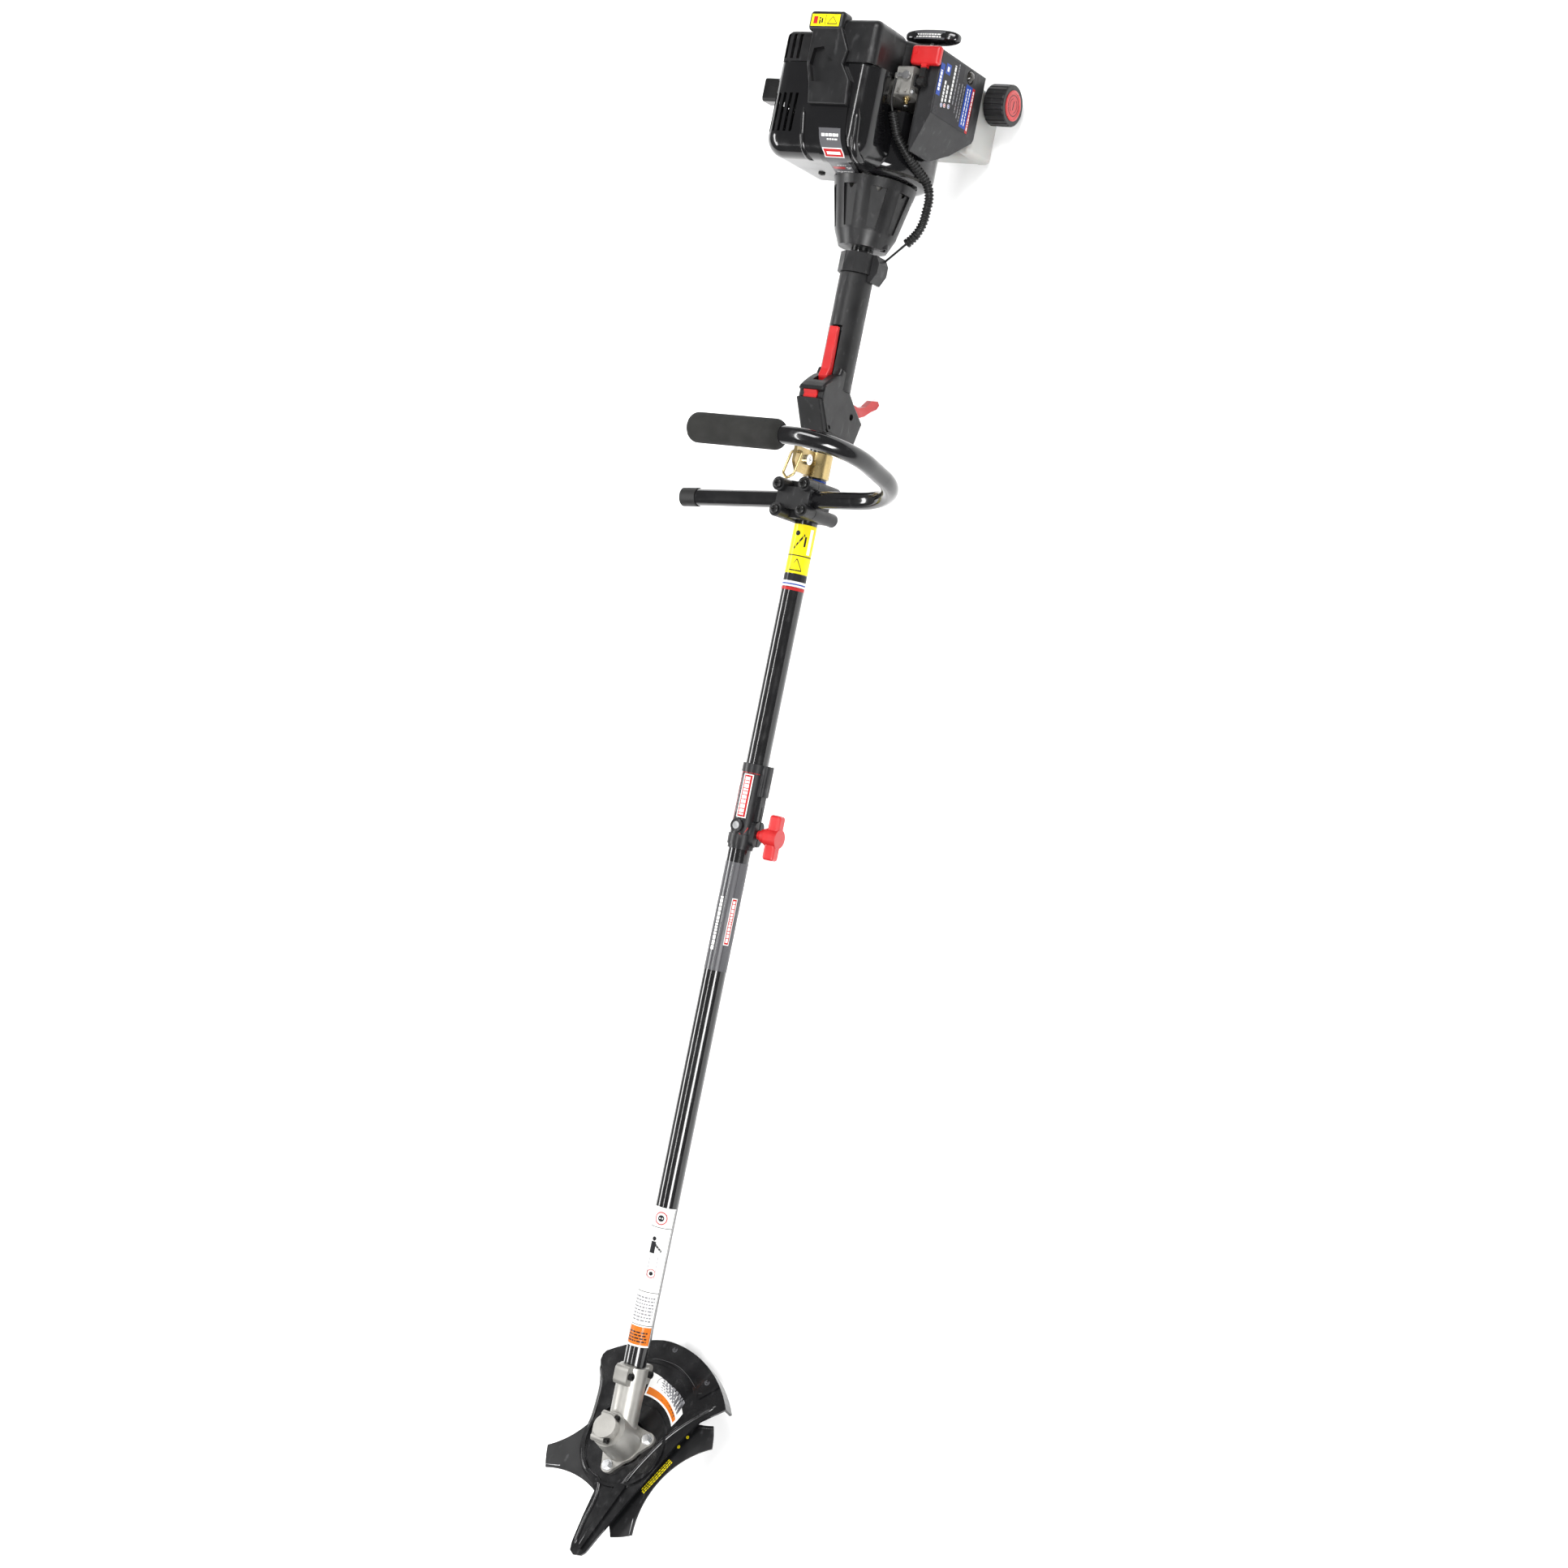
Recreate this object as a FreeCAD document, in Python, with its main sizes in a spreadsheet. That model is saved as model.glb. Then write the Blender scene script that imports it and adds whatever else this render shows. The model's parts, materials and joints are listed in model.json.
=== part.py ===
import FreeCAD, Part
import math
import os
import re

# Petrol brush cutter with a split boom, J-handle, four-tooth blade and two-stroke engine.
# Millimetres. Stations are counted along the boom from the point where the boom axis
# crosses the blade spindle axis. +X is forward to the blade, +Y the operator's left, +Z up.

os.makedirs("parts", exist_ok=True)
doc = FreeCAD.newDocument("brush_cutter")
sheet = doc.addObject("Spreadsheet::Sheet", "dims")
V = FreeCAD.Vector
X, Y, Z = V(1, 0, 0), V(0, 1, 0), V(0, 0, 1)

DIMS = [
    ("shift_x", 721.6, "spindle crossing from the origin, along X"),
    ("shift_y", -5.0, "boom axis from the origin, along Y"),
    ("shift_z", 98.0, "boom axis above the ground plane"),
    ("head_tilt", 62.6, "angle between boom and spindle, degrees"),
    ("head_drop", 24.0, "blade plane below the crossing, along the spindle"),
    ("blade_radius", 101.6, "eight inch blade"),
    ("blade_thick", 1.8, ""),
    ("scallop_radius", 100.8, "curve between two teeth"),
    ("scallop_offset", 159.8, "centre of that curve from the blade centre"),
    ("blade_turn", 24.0, "tooth direction from straight ahead, degrees"),
    ("arbor_radius", 12.7, "one inch blade bore"),
    ("spindle_radius", 5.0, ""),
    ("guard_radius", 122.5, ""),
    ("guard_top", 12.0, "guard plate top above the blade plane"),
    ("guard_thick", 3.0, ""),
    ("boom_radius", 12.7, "one inch boom tube"),
    ("boom_wall", 1.6, ""),
    ("shaft_radius", 3.2, "drive shaft"),
    ("lower_start", 50.0, "front end of the lower boom tube"),
    ("joint_station", 715.0, "where the two boom tubes meet"),
    ("upper_end", 1345.0, "rear end of the upper boom tube"),
    ("coupler_start", 658.0, ""),
    ("coupler_length", 94.0, ""),
    ("knob_station", 677.0, ""),
    ("clamp_station", 1042.5, "J-handle clamp centre"),
    ("bar_radius", 9.525, "J-handle tube, three quarter inch"),
    ("bar_wall", 1.4, ""),
    ("bar_height", 24.0, "handle bar centre above the boom axis"),
    ("bar_slant", 0.0925, "rearward lean of the bar for each unit to the left"),
    ("grip_height", 183.0, "foam grip centre above the boom axis"),
    ("foam_radius", 16.5, ""),
    ("harness_station", 1084.0, ""),
    ("trigger_station", 1145.0, "throttle trigger pivot"),
    ("trigger_drop", 19.5, "trigger pivot below the boom axis"),
    ("cable_radius", 1.25, "throttle cable"),
    ("rear_grip_radius", 18.7, ""),
    ("rear_grip_end", 1297.0, ""),
    ("clutch_front", 1326.0, ""),
    ("clutch_length", 72.0, ""),
    ("cylinder_station", 1482.0, "engine cylinder axis"),
    ("fan_radius", 62.0, "fan housing"),
    ("primer_station", 1525.0, ""),
    ("cap_station", 1512.6, "fuel cap"),
    ("pinion_teeth", 12, ""),
    ("gear_teeth", 16, ""),
    ("cone_distance", 22.0, "bevel gear outer cone distance"),
]
for row, (alias, value, note) in enumerate(DIMS, start=1):
    sheet.set(f"A{row}", alias)
    sheet.set(f"B{row}", str(value))
    sheet.setAlias(f"B{row}", alias)
    sheet.set(f"C{row}", note)
doc.recompute()


def dim(alias):
    return float(sheet.get(alias))


NODES = {}
SHIFT = V(dim("shift_x"), dim("shift_y"), dim("shift_z"))
TILT = math.radians(dim("head_tilt"))
HEAD_N = V(-math.cos(TILT), 0, math.sin(TILT))
HEAD_F = V(math.sin(TILT), 0, math.cos(TILT))
HEAD_TURN = FreeCAD.Rotation(Y, dim("head_tilt") - 90.0)


def apply_size(obj, prop, value):
    """A string is an expression of sheet names; a number is a plain size."""
    if isinstance(value, str):
        obj.setExpression(prop, re.sub(r"[a-z][a-z_]+", lambda m: "dims." + m.group(0), value))
    else:
        setattr(obj, prop, value)


def turn_to(direction):
    return FreeCAD.Rotation(Z, V(direction))


def cyl(radius, height, base, direction=Z):
    obj = doc.addObject("Part::Cylinder", "cyl")
    apply_size(obj, "Radius", radius)
    apply_size(obj, "Height", height)
    obj.Placement = FreeCAD.Placement(V(base), turn_to(direction))
    return obj


def cone(radius1, radius2, height, base, direction=Z):
    obj = doc.addObject("Part::Cone", "cone")
    apply_size(obj, "Radius1", radius1)
    apply_size(obj, "Radius2", radius2)
    apply_size(obj, "Height", height)
    obj.Placement = FreeCAD.Placement(V(base), turn_to(direction))
    return obj


def box(low, high, turn=None, about=None):
    obj = doc.addObject("Part::Box", "box")
    obj.Length = high[0] - low[0]
    obj.Width = high[1] - low[1]
    obj.Height = high[2] - low[2]
    obj.Placement = FreeCAD.Placement(V(low), FreeCAD.Rotation())
    if turn:
        obj.Placement = FreeCAD.Placement(V(0, 0, 0), turn, V(about)).multiply(obj.Placement)
    return obj


def solid(shape):
    obj = doc.addObject("Part::Feature", "solid")
    obj.Shape = shape
    return obj


def prism(points, height, normal=Z):
    """Flat outline swept straight along its normal."""
    wire = Part.makePolygon([V(p) for p in points] + [V(points[0])])
    return solid(Part.Face(wire).extrude(V(normal) * height))


def fuse(*parts):
    if len(parts) == 1:
        return parts[0]
    obj = doc.addObject("Part::MultiFuse", "fuse")
    obj.Shapes = list(parts)
    return obj


def cut(base, *tools):
    obj = doc.addObject("Part::Cut", "cut")
    obj.Base = base
    obj.Tool = fuse(*tools)
    return obj


def common(*parts):
    obj = doc.addObject("Part::MultiCommon", "common")
    obj.Shapes = list(parts)
    return obj


def group(*parts):
    obj = doc.addObject("Part::Compound", "group")
    obj.Links = list(parts)
    return obj


def fillet(base, radius, pick):
    """Round the edges that the pick function accepts."""
    doc.recompute()
    obj = doc.addObject("Part::Fillet", "fillet")
    obj.Base = base
    obj.Edges = [(i, radius, radius) for i, e in enumerate(base.Shape.Edges, start=1) if pick(e)]
    return obj


def straight_along(axis):
    """Accepts straight edges parallel to an axis."""
    def pick(edge):
        if edge.Curve.TypeId != "Part::GeomLine":
            return False
        return abs(abs(edge.tangentAt(edge.FirstParameter).dot(axis)) - 1) < 1e-6
    return pick


def any_edge(edge):
    return True


def on_boom(label, obj):
    """A finished part whose coordinates start at the spindle crossing."""
    obj.Placement = FreeCAD.Placement(SHIFT, FreeCAD.Rotation()).multiply(obj.Placement)
    obj.Label = label
    NODES[label] = obj


def on_head(label, obj):
    """A finished part drawn in blade axes: x ahead, y left, z up the spindle."""
    blade_centre = HEAD_N * -dim("head_drop")
    place = FreeCAD.Placement(SHIFT + blade_centre, HEAD_TURN)
    obj.Placement = place.multiply(obj.Placement)
    obj.Label = label
    NODES[label] = obj


def st(station, left=0.0, up=0.0):
    return V(-station, left, up)


def path_wire(points, bend):
    """Straight runs joined by tangent arcs; bend is one radius or one per inner corner."""
    edges = []
    start = V(points[0])
    for i in range(1, len(points) - 1):
        radius = bend[i - 1] if isinstance(bend, (list, tuple)) else bend
        corner = V(points[i])
        back = (V(points[i - 1]) - corner).normalize()
        ahead = (V(points[i + 1]) - corner).normalize()
        half = back.getAngle(ahead) / 2
        reach = radius / math.tan(half)
        arc_in = corner + back * reach
        arc_out = corner + ahead * reach
        bisector = (back + ahead).normalize()
        middle = corner + bisector * (radius / math.sin(half) - radius)
        if (arc_in - start).Length > 1e-4:
            edges.append(Part.makeLine(start, arc_in))
        edges.append(Part.Arc(arc_in, middle, arc_out).toShape())
        start = arc_out
    edges.append(Part.makeLine(start, V(points[-1])))
    return Part.Wire(edges)


def tube_along(points, bend, radius, inner=0.0):
    """Round bar or tube along a bent path."""
    wire = path_wire(points, bend)
    first = wire.Edges[0]
    ahead = first.tangentAt(first.FirstParameter)
    start = V(points[0])

    def pipe(r):
        ring = Part.Wire([Part.makeCircle(r, start, ahead)])
        return wire.makePipeShell([ring], True, False)

    shape = pipe(radius)
    if inner:
        shape = shape.cut(pipe(inner))
    return solid(shape)


def revolved(points, base=V(0, 0, 0), direction=Z):
    """Ring or turned part from (radius, height) points."""
    outline = [V(r, 0, h) for r, h in points]
    wire = Part.makePolygon(outline + [outline[0]])
    shape = Part.Face(wire).revolve(V(0, 0, 0), Z, 360)
    shape.Placement = FreeCAD.Placement(V(base), turn_to(direction))
    return solid(shape)


def hex_bar(across_flats, height, base, direction=Z):
    radius = across_flats / math.sqrt(3)
    ring = [V(radius * math.cos(math.radians(60 * k)), radius * math.sin(math.radians(60 * k)), 0)
            for k in range(6)]
    obj = prism(ring, height)
    obj.Placement = FreeCAD.Placement(V(base), turn_to(direction))
    return obj


# ---------------------------------------------------------------- cutting head

def polar(radius, degrees, height=0.0):
    angle = math.radians(degrees)
    return V(radius * math.cos(angle), radius * math.sin(angle), height)


def make_blade():
    disc = cyl("blade_radius", "blade_thick", (0, 0, -dim("blade_thick") / 2))
    tools = [cyl("arbor_radius", 10, (0, 0, -5))]
    for k in range(4):
        middle = dim("blade_turn") + 45 + 90 * k
        tools.append(cyl("scallop_radius", 10, polar(dim("scallop_offset"), middle, -5)))
    on_head("blade", cut(disc, *tools))


def make_blade_mounting():
    half = dim("blade_thick") / 2
    flange = cyl(24, 4.6, (0, 0, half))
    spigot = cyl("arbor_radius - 0.1", 2.5, (0, 0, half - 1.7))
    hole = cyl("spindle_radius", 20, (0, 0, -5))
    on_head("blade_adapter", cut(fuse(flange, spigot), hole))
    washer = cyl(21, 2.6, (0, 0, -half - 2.6))
    nut = hex_bar(17, 9, (0, 0, -half - 11.6))
    on_head("blade_nut", cut(fuse(washer, nut), cyl("spindle_radius", 40, (0, 0, -20))))
    on_head("spindle", cyl("spindle_radius", 71, (0, 0, -14.5)))


def bevel_angles():
    ratio = dim("gear_teeth") / dim("pinion_teeth")
    pinion = math.atan2(math.sin(TILT), ratio + math.cos(TILT))
    return pinion, TILT - pinion


def bevel_wheel(teeth, pitch_angle, hub_radius, hub_length, phase):
    """Bevel gear about +Z with its cone apex at the origin; teeth are straight and slim."""
    outer = dim("cone_distance")
    inner = outer - 7.0
    module = 2 * outer * math.sin(pitch_angle) / teeth
    root = pitch_angle - 1.15 * module / outer
    tip = pitch_angle + 0.75 * module / outer
    step = 2 * math.pi / teeth

    def ray(distance, angle, turn):
        r = distance * math.sin(angle)
        return V(r * math.cos(turn), r * math.sin(turn), distance * math.cos(angle))

    near, far = inner * math.cos(root), outer * math.cos(root)
    profile = [(0.0, near), (inner * math.sin(root), near), (outer * math.sin(root), far),
               (hub_radius, far + 2.5), (hub_radius, far + hub_length), (0.0, far + hub_length)]
    outline = [V(r, 0, h) for r, h in profile]
    body = Part.Face(Part.makePolygon(outline + [outline[0]])).revolve(V(0, 0, 0), Z, 360)
    pieces = []
    for k in range(teeth):
        mid = phase + k * step
        wires = []
        for distance in (inner, outer):
            low = root - 0.3 * module / outer
            ring = [ray(distance, low, mid - 0.19 * step), ray(distance, low, mid + 0.19 * step),
                    ray(distance, tip, mid + 0.08 * step), ray(distance, tip, mid - 0.08 * step)]
            wires.append(Part.makePolygon(ring + [ring[0]]))
        pieces.append(Part.makeLoft(wires, True, True))
    return body.multiFuse(pieces)


def make_gears():
    pinion_cone, gear_cone = bevel_angles()
    teeth = int(dim("gear_teeth"))
    gear = bevel_wheel(teeth, gear_cone, 9.0, 6.0, math.pi + math.pi / teeth)
    gear = gear.cut(Part.makeCylinder(dim("spindle_radius"), 80, V(0, 0, -5)))
    gear.translate(V(0, 0, dim("head_drop")))
    on_head("bevel_gear", solid(gear))
    pinion = bevel_wheel(int(dim("pinion_teeth")), pinion_cone, 6.0, 21.0, 0.0)
    socket = Part.makeBox(4.4, 4.4, 14, V(-2.2, -2.2, 32))
    pinion = pinion.cut(socket)
    # local +Z becomes the boom direction to the engine and local +X becomes up
    pinion.Placement = FreeCAD.Placement(V(0, 0, 0), FreeCAD.Rotation(Z, Y, -X, "ZYX"))
    on_boom("pinion", solid(pinion))


def ring_bearing(inner, outer, width, base, direction):
    bore = cyl(inner, width + 2, V(base) - V(direction), direction)
    return cut(cyl(outer, width, base, direction), bore)


def make_head_bearings():
    crossing = HEAD_N * dim("head_drop")
    low = crossing.normalize() * -dim("head_drop")
    lower = ring_bearing(dim("spindle_radius") + 0.05, 13, 6, low + HEAD_N * 13.5, HEAD_N)
    upper = ring_bearing(dim("spindle_radius") + 0.05, 11, 6, low + HEAD_N * 49, HEAD_N)
    side = ring_bearing(6.05, 11, 8, st(24.5), -X)
    on_boom("head_bearings", group(lower, upper, side))


FLANGE_HOLES = [(30.0, -8.0), (30.0, 112.0), (30.0, 232.0)]
CAP_EARS = (-13.0, 13.0)
PINCH_HEIGHTS = (18, -18)


def housing_body():
    """Split aluminium gear housing before it is cut in two, in boom axes."""
    base = HEAD_N * -dim("head_drop")
    flange = base + HEAD_N * 12.0
    lobes = [cyl(8.0, 4.5, flange + head_point(r, a), HEAD_N) for r, a in FLANGE_HOLES]
    web = prism(flange_web(flange, 7.6), 4.5, HEAD_N)
    plate = cyl(24, 4.5, flange, HEAD_N)
    drum = cone(23, 19.8, 36, base + HEAD_N * 16.5, HEAD_N)
    cap = cyl(13.5, 11, base + HEAD_N * 52.5, HEAD_N)
    collar = cyl(16.3, 76, st(6), -X)
    across = straight_along(Y)
    pinch = fillet(box((-84, -8.6, 8), (-62, 8.6, 24)), 5.5,
                   lambda e: across(e) and e.BoundBox.ZMin > 20)
    lug = fillet(box((-84, -8.6, -24), (-62, 8.6, -8)), 5.5,
                 lambda e: across(e) and e.BoundBox.ZMax < -20)
    ears = [cyl(4.6, 17, base + HEAD_N * 56.5 + HEAD_F * f - Y * 12, Y) for f in CAP_EARS]
    outer = fuse(*lobes, web, plate, drum, cap, collar, pinch, lug, *ears)
    tools = [
        cyl(17.0, 27.5, base + HEAD_N * 20, HEAD_N),
        cyl(13.0, 9, base + HEAD_N * 11, HEAD_N),
        cyl(11.0, 8, base + HEAD_N * 47.2, HEAD_N),
        cyl(7.0, 5, base + HEAD_N * 54.5, HEAD_N),
        cyl(11.0, 38, st(12), -X),
        cyl("boom_radius", 40, st(dim("lower_start")), -X),
    ]
    for up in PINCH_HEIGHTS:
        tools.append(cyl(2.3, 60, (-73, -30, up), Y))
    for r, a in FLANGE_HOLES:
        tools.append(cyl(2.8, 20, base + HEAD_N * 8 + head_point(r, a), HEAD_N))
    for f in CAP_EARS:
        tools.append(cyl(2.1, 40, base + HEAD_N * 56.5 + HEAD_F * f - Y * 20, Y))
        tools.append(cyl(3.7, 20, base + HEAD_N * 56.5 + HEAD_F * f + Y * 5, Y))
    return cut(outer, *tools)


def head_point(radius, degrees):
    angle = math.radians(degrees)
    return HEAD_F * (radius * math.cos(angle)) + Y * (radius * math.sin(angle))


def flange_web(flange, reach):
    """Outline joining the three flange lobes by straight edges set out by the reach."""
    centres = [flange + head_point(r, a) for r, a in FLANGE_HOLES]
    outline = []
    for first, second in zip(centres, centres[1:] + centres[:1]):
        outward = (second - first).cross(HEAD_N).normalize() * reach
        outline += [first + outward, second + outward]
    return outline


def make_housing():
    for label, low, high in (("gearbox_left_half", 0, 60), ("gearbox_right_half", -60, 0)):
        side = box((-140, low, -80), (80, high, 90))
        on_boom(label, common(housing_body(), side))


def make_head_screws():
    base = HEAD_N * -dim("head_drop")
    pieces = []
    for f in CAP_EARS:
        start = base + HEAD_N * 56.5 + HEAD_F * f
        screw = fuse(cyl(1.9, 16, start - Y * 10.8, Y), cyl(3.4, 3.5, start + Y * 5, Y))
        pieces.append(cut(screw, hex_bar(3.0, 3, start + Y * 6.5, Y)))
    for up in PINCH_HEIGHTS:
        start = V(-73, 0, up)
        screw = fuse(cyl(2.1, 20, start - Y * 11.2, Y), cyl(3.9, 4, start + Y * 8.6, Y))
        pieces.append(cut(screw, hex_bar(3.4, 3, start + Y * 10, Y)))
    on_boom("gearbox_screws", group(*pieces))
    bolts = []
    for r, a in FLANGE_HOLES:
        start = polar(r, a)
        bolts.append(fuse(cyl(2.5, 12.5, start + Z * 6.2), cyl(6.2, 1.2, start + Z * 16.5),
                          hex_bar(8.0, 4.2, start + Z * 17.6)))
    on_head("guard_bolts", group(*bolts))


def arc_points(radius, first, last, steps):
    return [polar(radius, first + (last - first) * k / steps) for k in range(steps + 1)]


def guard_rim(inset):
    """Rear edge of the guard, drawn in a little towards its right-hand end."""
    points = []
    for angle in range(126, 219, 4):
        drawn = 6.0 * min(1.0, max(0.0, (angle - 184) / 24))
        points.append(polar(dim("guard_radius") - inset - drawn, angle))
    return points


def guard_outline():
    """Guard plan in blade axes: rear arc, hollow flanks and a long tapering front spike."""
    rim = guard_rim(0)
    corner = [V(-89.5, -75), V(-84.5, -77.5), V(-77.5, -77), V(-70.5, -73)]
    right = [V(-56, -66), V(-43, -60), V(-30, -56.5), V(-12, -54.5)]
    dish = arc_points(54.5, 264, 345, 10)
    spike = [V(60, -8), V(88, -7.5), V(118, -5.5), V(127, -3), V(130.5, 3), V(128.5, 12), V(124, 16)]
    left = [V(105, 21.5), V(87, 27.5), V(61, 35.5), V(21, 47.5), V(-14, 59.5), V(-37, 69.5), V(-50, 75.5)]
    return [V(p.x, p.y, 0) for p in rim + corner + right + dish + spike + left]


def make_guard():
    top = dim("guard_top")
    thick = dim("guard_thick")
    r = dim("guard_radius")
    plate = prism([p + Z * (top - thick) for p in guard_outline()], thick)
    rim = guard_rim(0) + guard_rim(3.0)[::-1]
    skirt = prism([p + Z * (top - 17.0) for p in rim], 17.0 - thick + 0.5)
    ridge = arc_points(98, 142, 194, 16) + arc_points(94.5, 194, 142, 16)
    arc_rib = prism([p + Z * (top - 0.5) for p in ridge], 2.2)
    step = prism([polar(96, 139, top - 0.5), polar(96, 141.5, top - 0.5), polar(r - 1, 141, top - 0.5),
                  polar(r - 1, 139, top - 0.5)], 2.2)
    dish = cut(cyl(50.5, 3.0, (0, 0, top - 0.5)), cyl(47.5, 8, (0, 0, top - 2)))
    spine = prism([V(44, 15, top - 0.5), V(44, 27, top - 0.5), V(122, 10, top - 0.5),
                   V(122, 6, top - 0.5)], 3.0)
    edge = prism([V(-69, 84, top - 0.5), V(-72, 80.5, top - 0.5), V(-39, 51, top - 0.5),
                  V(-35.5, 54.5, top - 0.5)], 2.6)
    body = fuse(plate, skirt, arc_rib, step, dish, spine, edge)
    tools = [cyl(26.5, 30, (0, 0, -5))]
    for radius, angle in FLANGE_HOLES:
        tools.append(cyl(2.8, 30, polar(radius, angle, -5)))
    on_head("guard", cut(body, *tools))


# ---------------------------------------------------------------- boom and coupler

def make_boom_tubes():
    inner = "boom_radius - boom_wall"
    front = dim("lower_start")
    lower = cut(cyl("boom_radius", "joint_station - lower_start", st(front), -X),
                cyl(inner, 2000, st(front - 5), -X),
                cyl(4.4, 30, st(dim("knob_station") + 6, 0, 0), Z))
    on_boom("lower_boom_tube", lower)
    mid = dim("joint_station") + 0.5
    upper = cut(cyl("boom_radius", "upper_end - joint_station - 0.5", st(mid), -X),
                cyl(inner, 2000, st(mid - 5), -X))
    on_boom("upper_boom_tube", upper)


def make_drive_shafts():
    square = box((-46.0, -2.1, -2.1), (-32.5, 2.1, 2.1))
    rod = cyl("shaft_radius", 662, st(45.5), -X)
    tail = box((-718, -2.1, -2.1), (-707, 2.1, 2.1))
    on_boom("lower_drive_shaft", fuse(square, rod, tail))
    sleeve = cut(cyl(7.0, 22, st(709), -X), box((-721, -2.2, -2.2), (-700, 2.2, 2.2)))
    rod = cyl("shaft_radius", 637, st(728), -X)
    on_boom("upper_drive_shaft", fuse(sleeve, rod))


def make_bushings():
    rings = []
    for station in (120, 330, 540, 790, 960, 1130, 1300):
        rings.append(ring_bearing(dim("shaft_radius") + 0.1, dim("boom_radius") - dim("boom_wall"), 14,
                                  st(station), -X))
    on_boom("shaft_bushings", group(*rings))


def make_coupler():
    start = dim("coupler_start")
    end = start + dim("coupler_length")
    knob = dim("knob_station")
    sleeve = cyl("boom_radius + 1.6", "coupler_length", st(start), -X)
    collar = cyl("boom_radius + 3.0", 12, st(start + 4), -X)
    rear_ring = cyl("boom_radius + 2.6", 10, st(end - 10), -X)
    lug = box((-knob - 14, 6, -9), (-knob + 14, 20, 9))
    lug = fillet(lug, 7.0, straight_along(Y))
    hump = fillet(box((-end, 8, -8), (-end + 34, 20.5, 8)), 6.0, straight_along(X))
    keel = box((-end + 20, 8, -5), (-knob - 8, 17.5, 5))
    boss = cyl(7.5, 17.0, st(knob + 6), Z)
    body = fuse(sleeve, collar, rear_ring, lug, hump, keel, boss)
    bore = cyl("boom_radius", 400, st(start - 50), -X)
    button_hole = cyl(4.4, 40, st(knob + 6), Z)
    stud_hole = cyl(3.3, 30, st(knob, 10), Y)
    slit = box((-knob - 30, 10, -0.8), (-knob + 40, 30, 0.8))
    on_boom("coupler", cut(body, bore, button_hole, stud_hole, slit))
    wing = fillet(box((-knob - 25, 33, -6.5), (-knob + 25, 47.5, 6.5)), 3.5, any_edge)
    hub = cyl(10.5, 15.5, st(knob, 32.5), Y)
    taper = cone(7.0, 10.5, 8.0, st(knob, 25), Y)
    stem = cyl(5.0, 5.0, st(knob, 20.6), Y)
    stud = cyl(3.2, 9.0, st(knob, 13.2), Y)
    on_boom("coupler_knob", fuse(wing, hub, taper, stem, stud))
    plunger = cyl(4.2, 9.5, st(knob + 6, 0, 8.2), Z)
    foot = box((-knob - 11.5, -3, 7.0), (-knob - 0.5, 3, 8.4))
    on_boom("release_button", fuse(plunger, foot))


# ---------------------------------------------------------------- J-handle

def handle_route():
    """Centre line of the J-handle from the open bar end to the free end of the grip."""
    low = dim("bar_height")
    high = dim("grip_height")
    first = bar_point(-148)
    return [first, bar_point(140), st(1089, 140, high), st(1083.5, -40, high)]


def bar_point(left):
    """Handle bar centre at a given distance to the left of the boom."""
    return st(dim("clamp_station") + left * dim("bar_slant"), left, dim("bar_height"))


def make_handle():
    points = handle_route()
    tube = tube_along(points, 66.0, dim("bar_radius"), dim("bar_radius") - dim("bar_wall"))
    on_boom("j_handle_tube", tube)
    first, second = points[0], points[1]
    ahead = (second - first).normalize()
    cap = cut(cyl(10.6, 20, first - ahead * 3, ahead), cyl("bar_radius", 30, first, ahead))
    on_boom("handle_end_cap", cap)
    tip, back = points[3], (points[2] - points[3]).normalize()
    foam = fillet(cyl("foam_radius", 116, tip - back * 4, back), 11.0, any_edge)
    on_boom("foam_grip", cut(foam, cyl("bar_radius", 150, tip, back)))


def clamp_posts():
    """Screw positions of the handle clamp, square to the slanted bar."""
    centre = bar_point(0)
    along = (bar_point(10) - centre).normalize()
    across = Z.cross(along)
    return [centre + along * a + across * c for a in (-16.4, 16.4) for c in (-14.2, 14.2)]


def cross_slots(point, axis, reach, width, depth):
    """Two crossed bars that cut a cross recess into a screw head."""
    sides = [s for s in (X, Y, Z) if abs(s.dot(axis)) < 0.5]
    bars = []
    for long, short in (sides, sides[::-1]):
        low = point - long * reach - short * width - axis * depth
        high = point + long * reach + short * width + axis * 5
        bars.append(box((low.x, low.y, low.z), (high.x, high.y, high.z)))
    return bars


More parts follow.
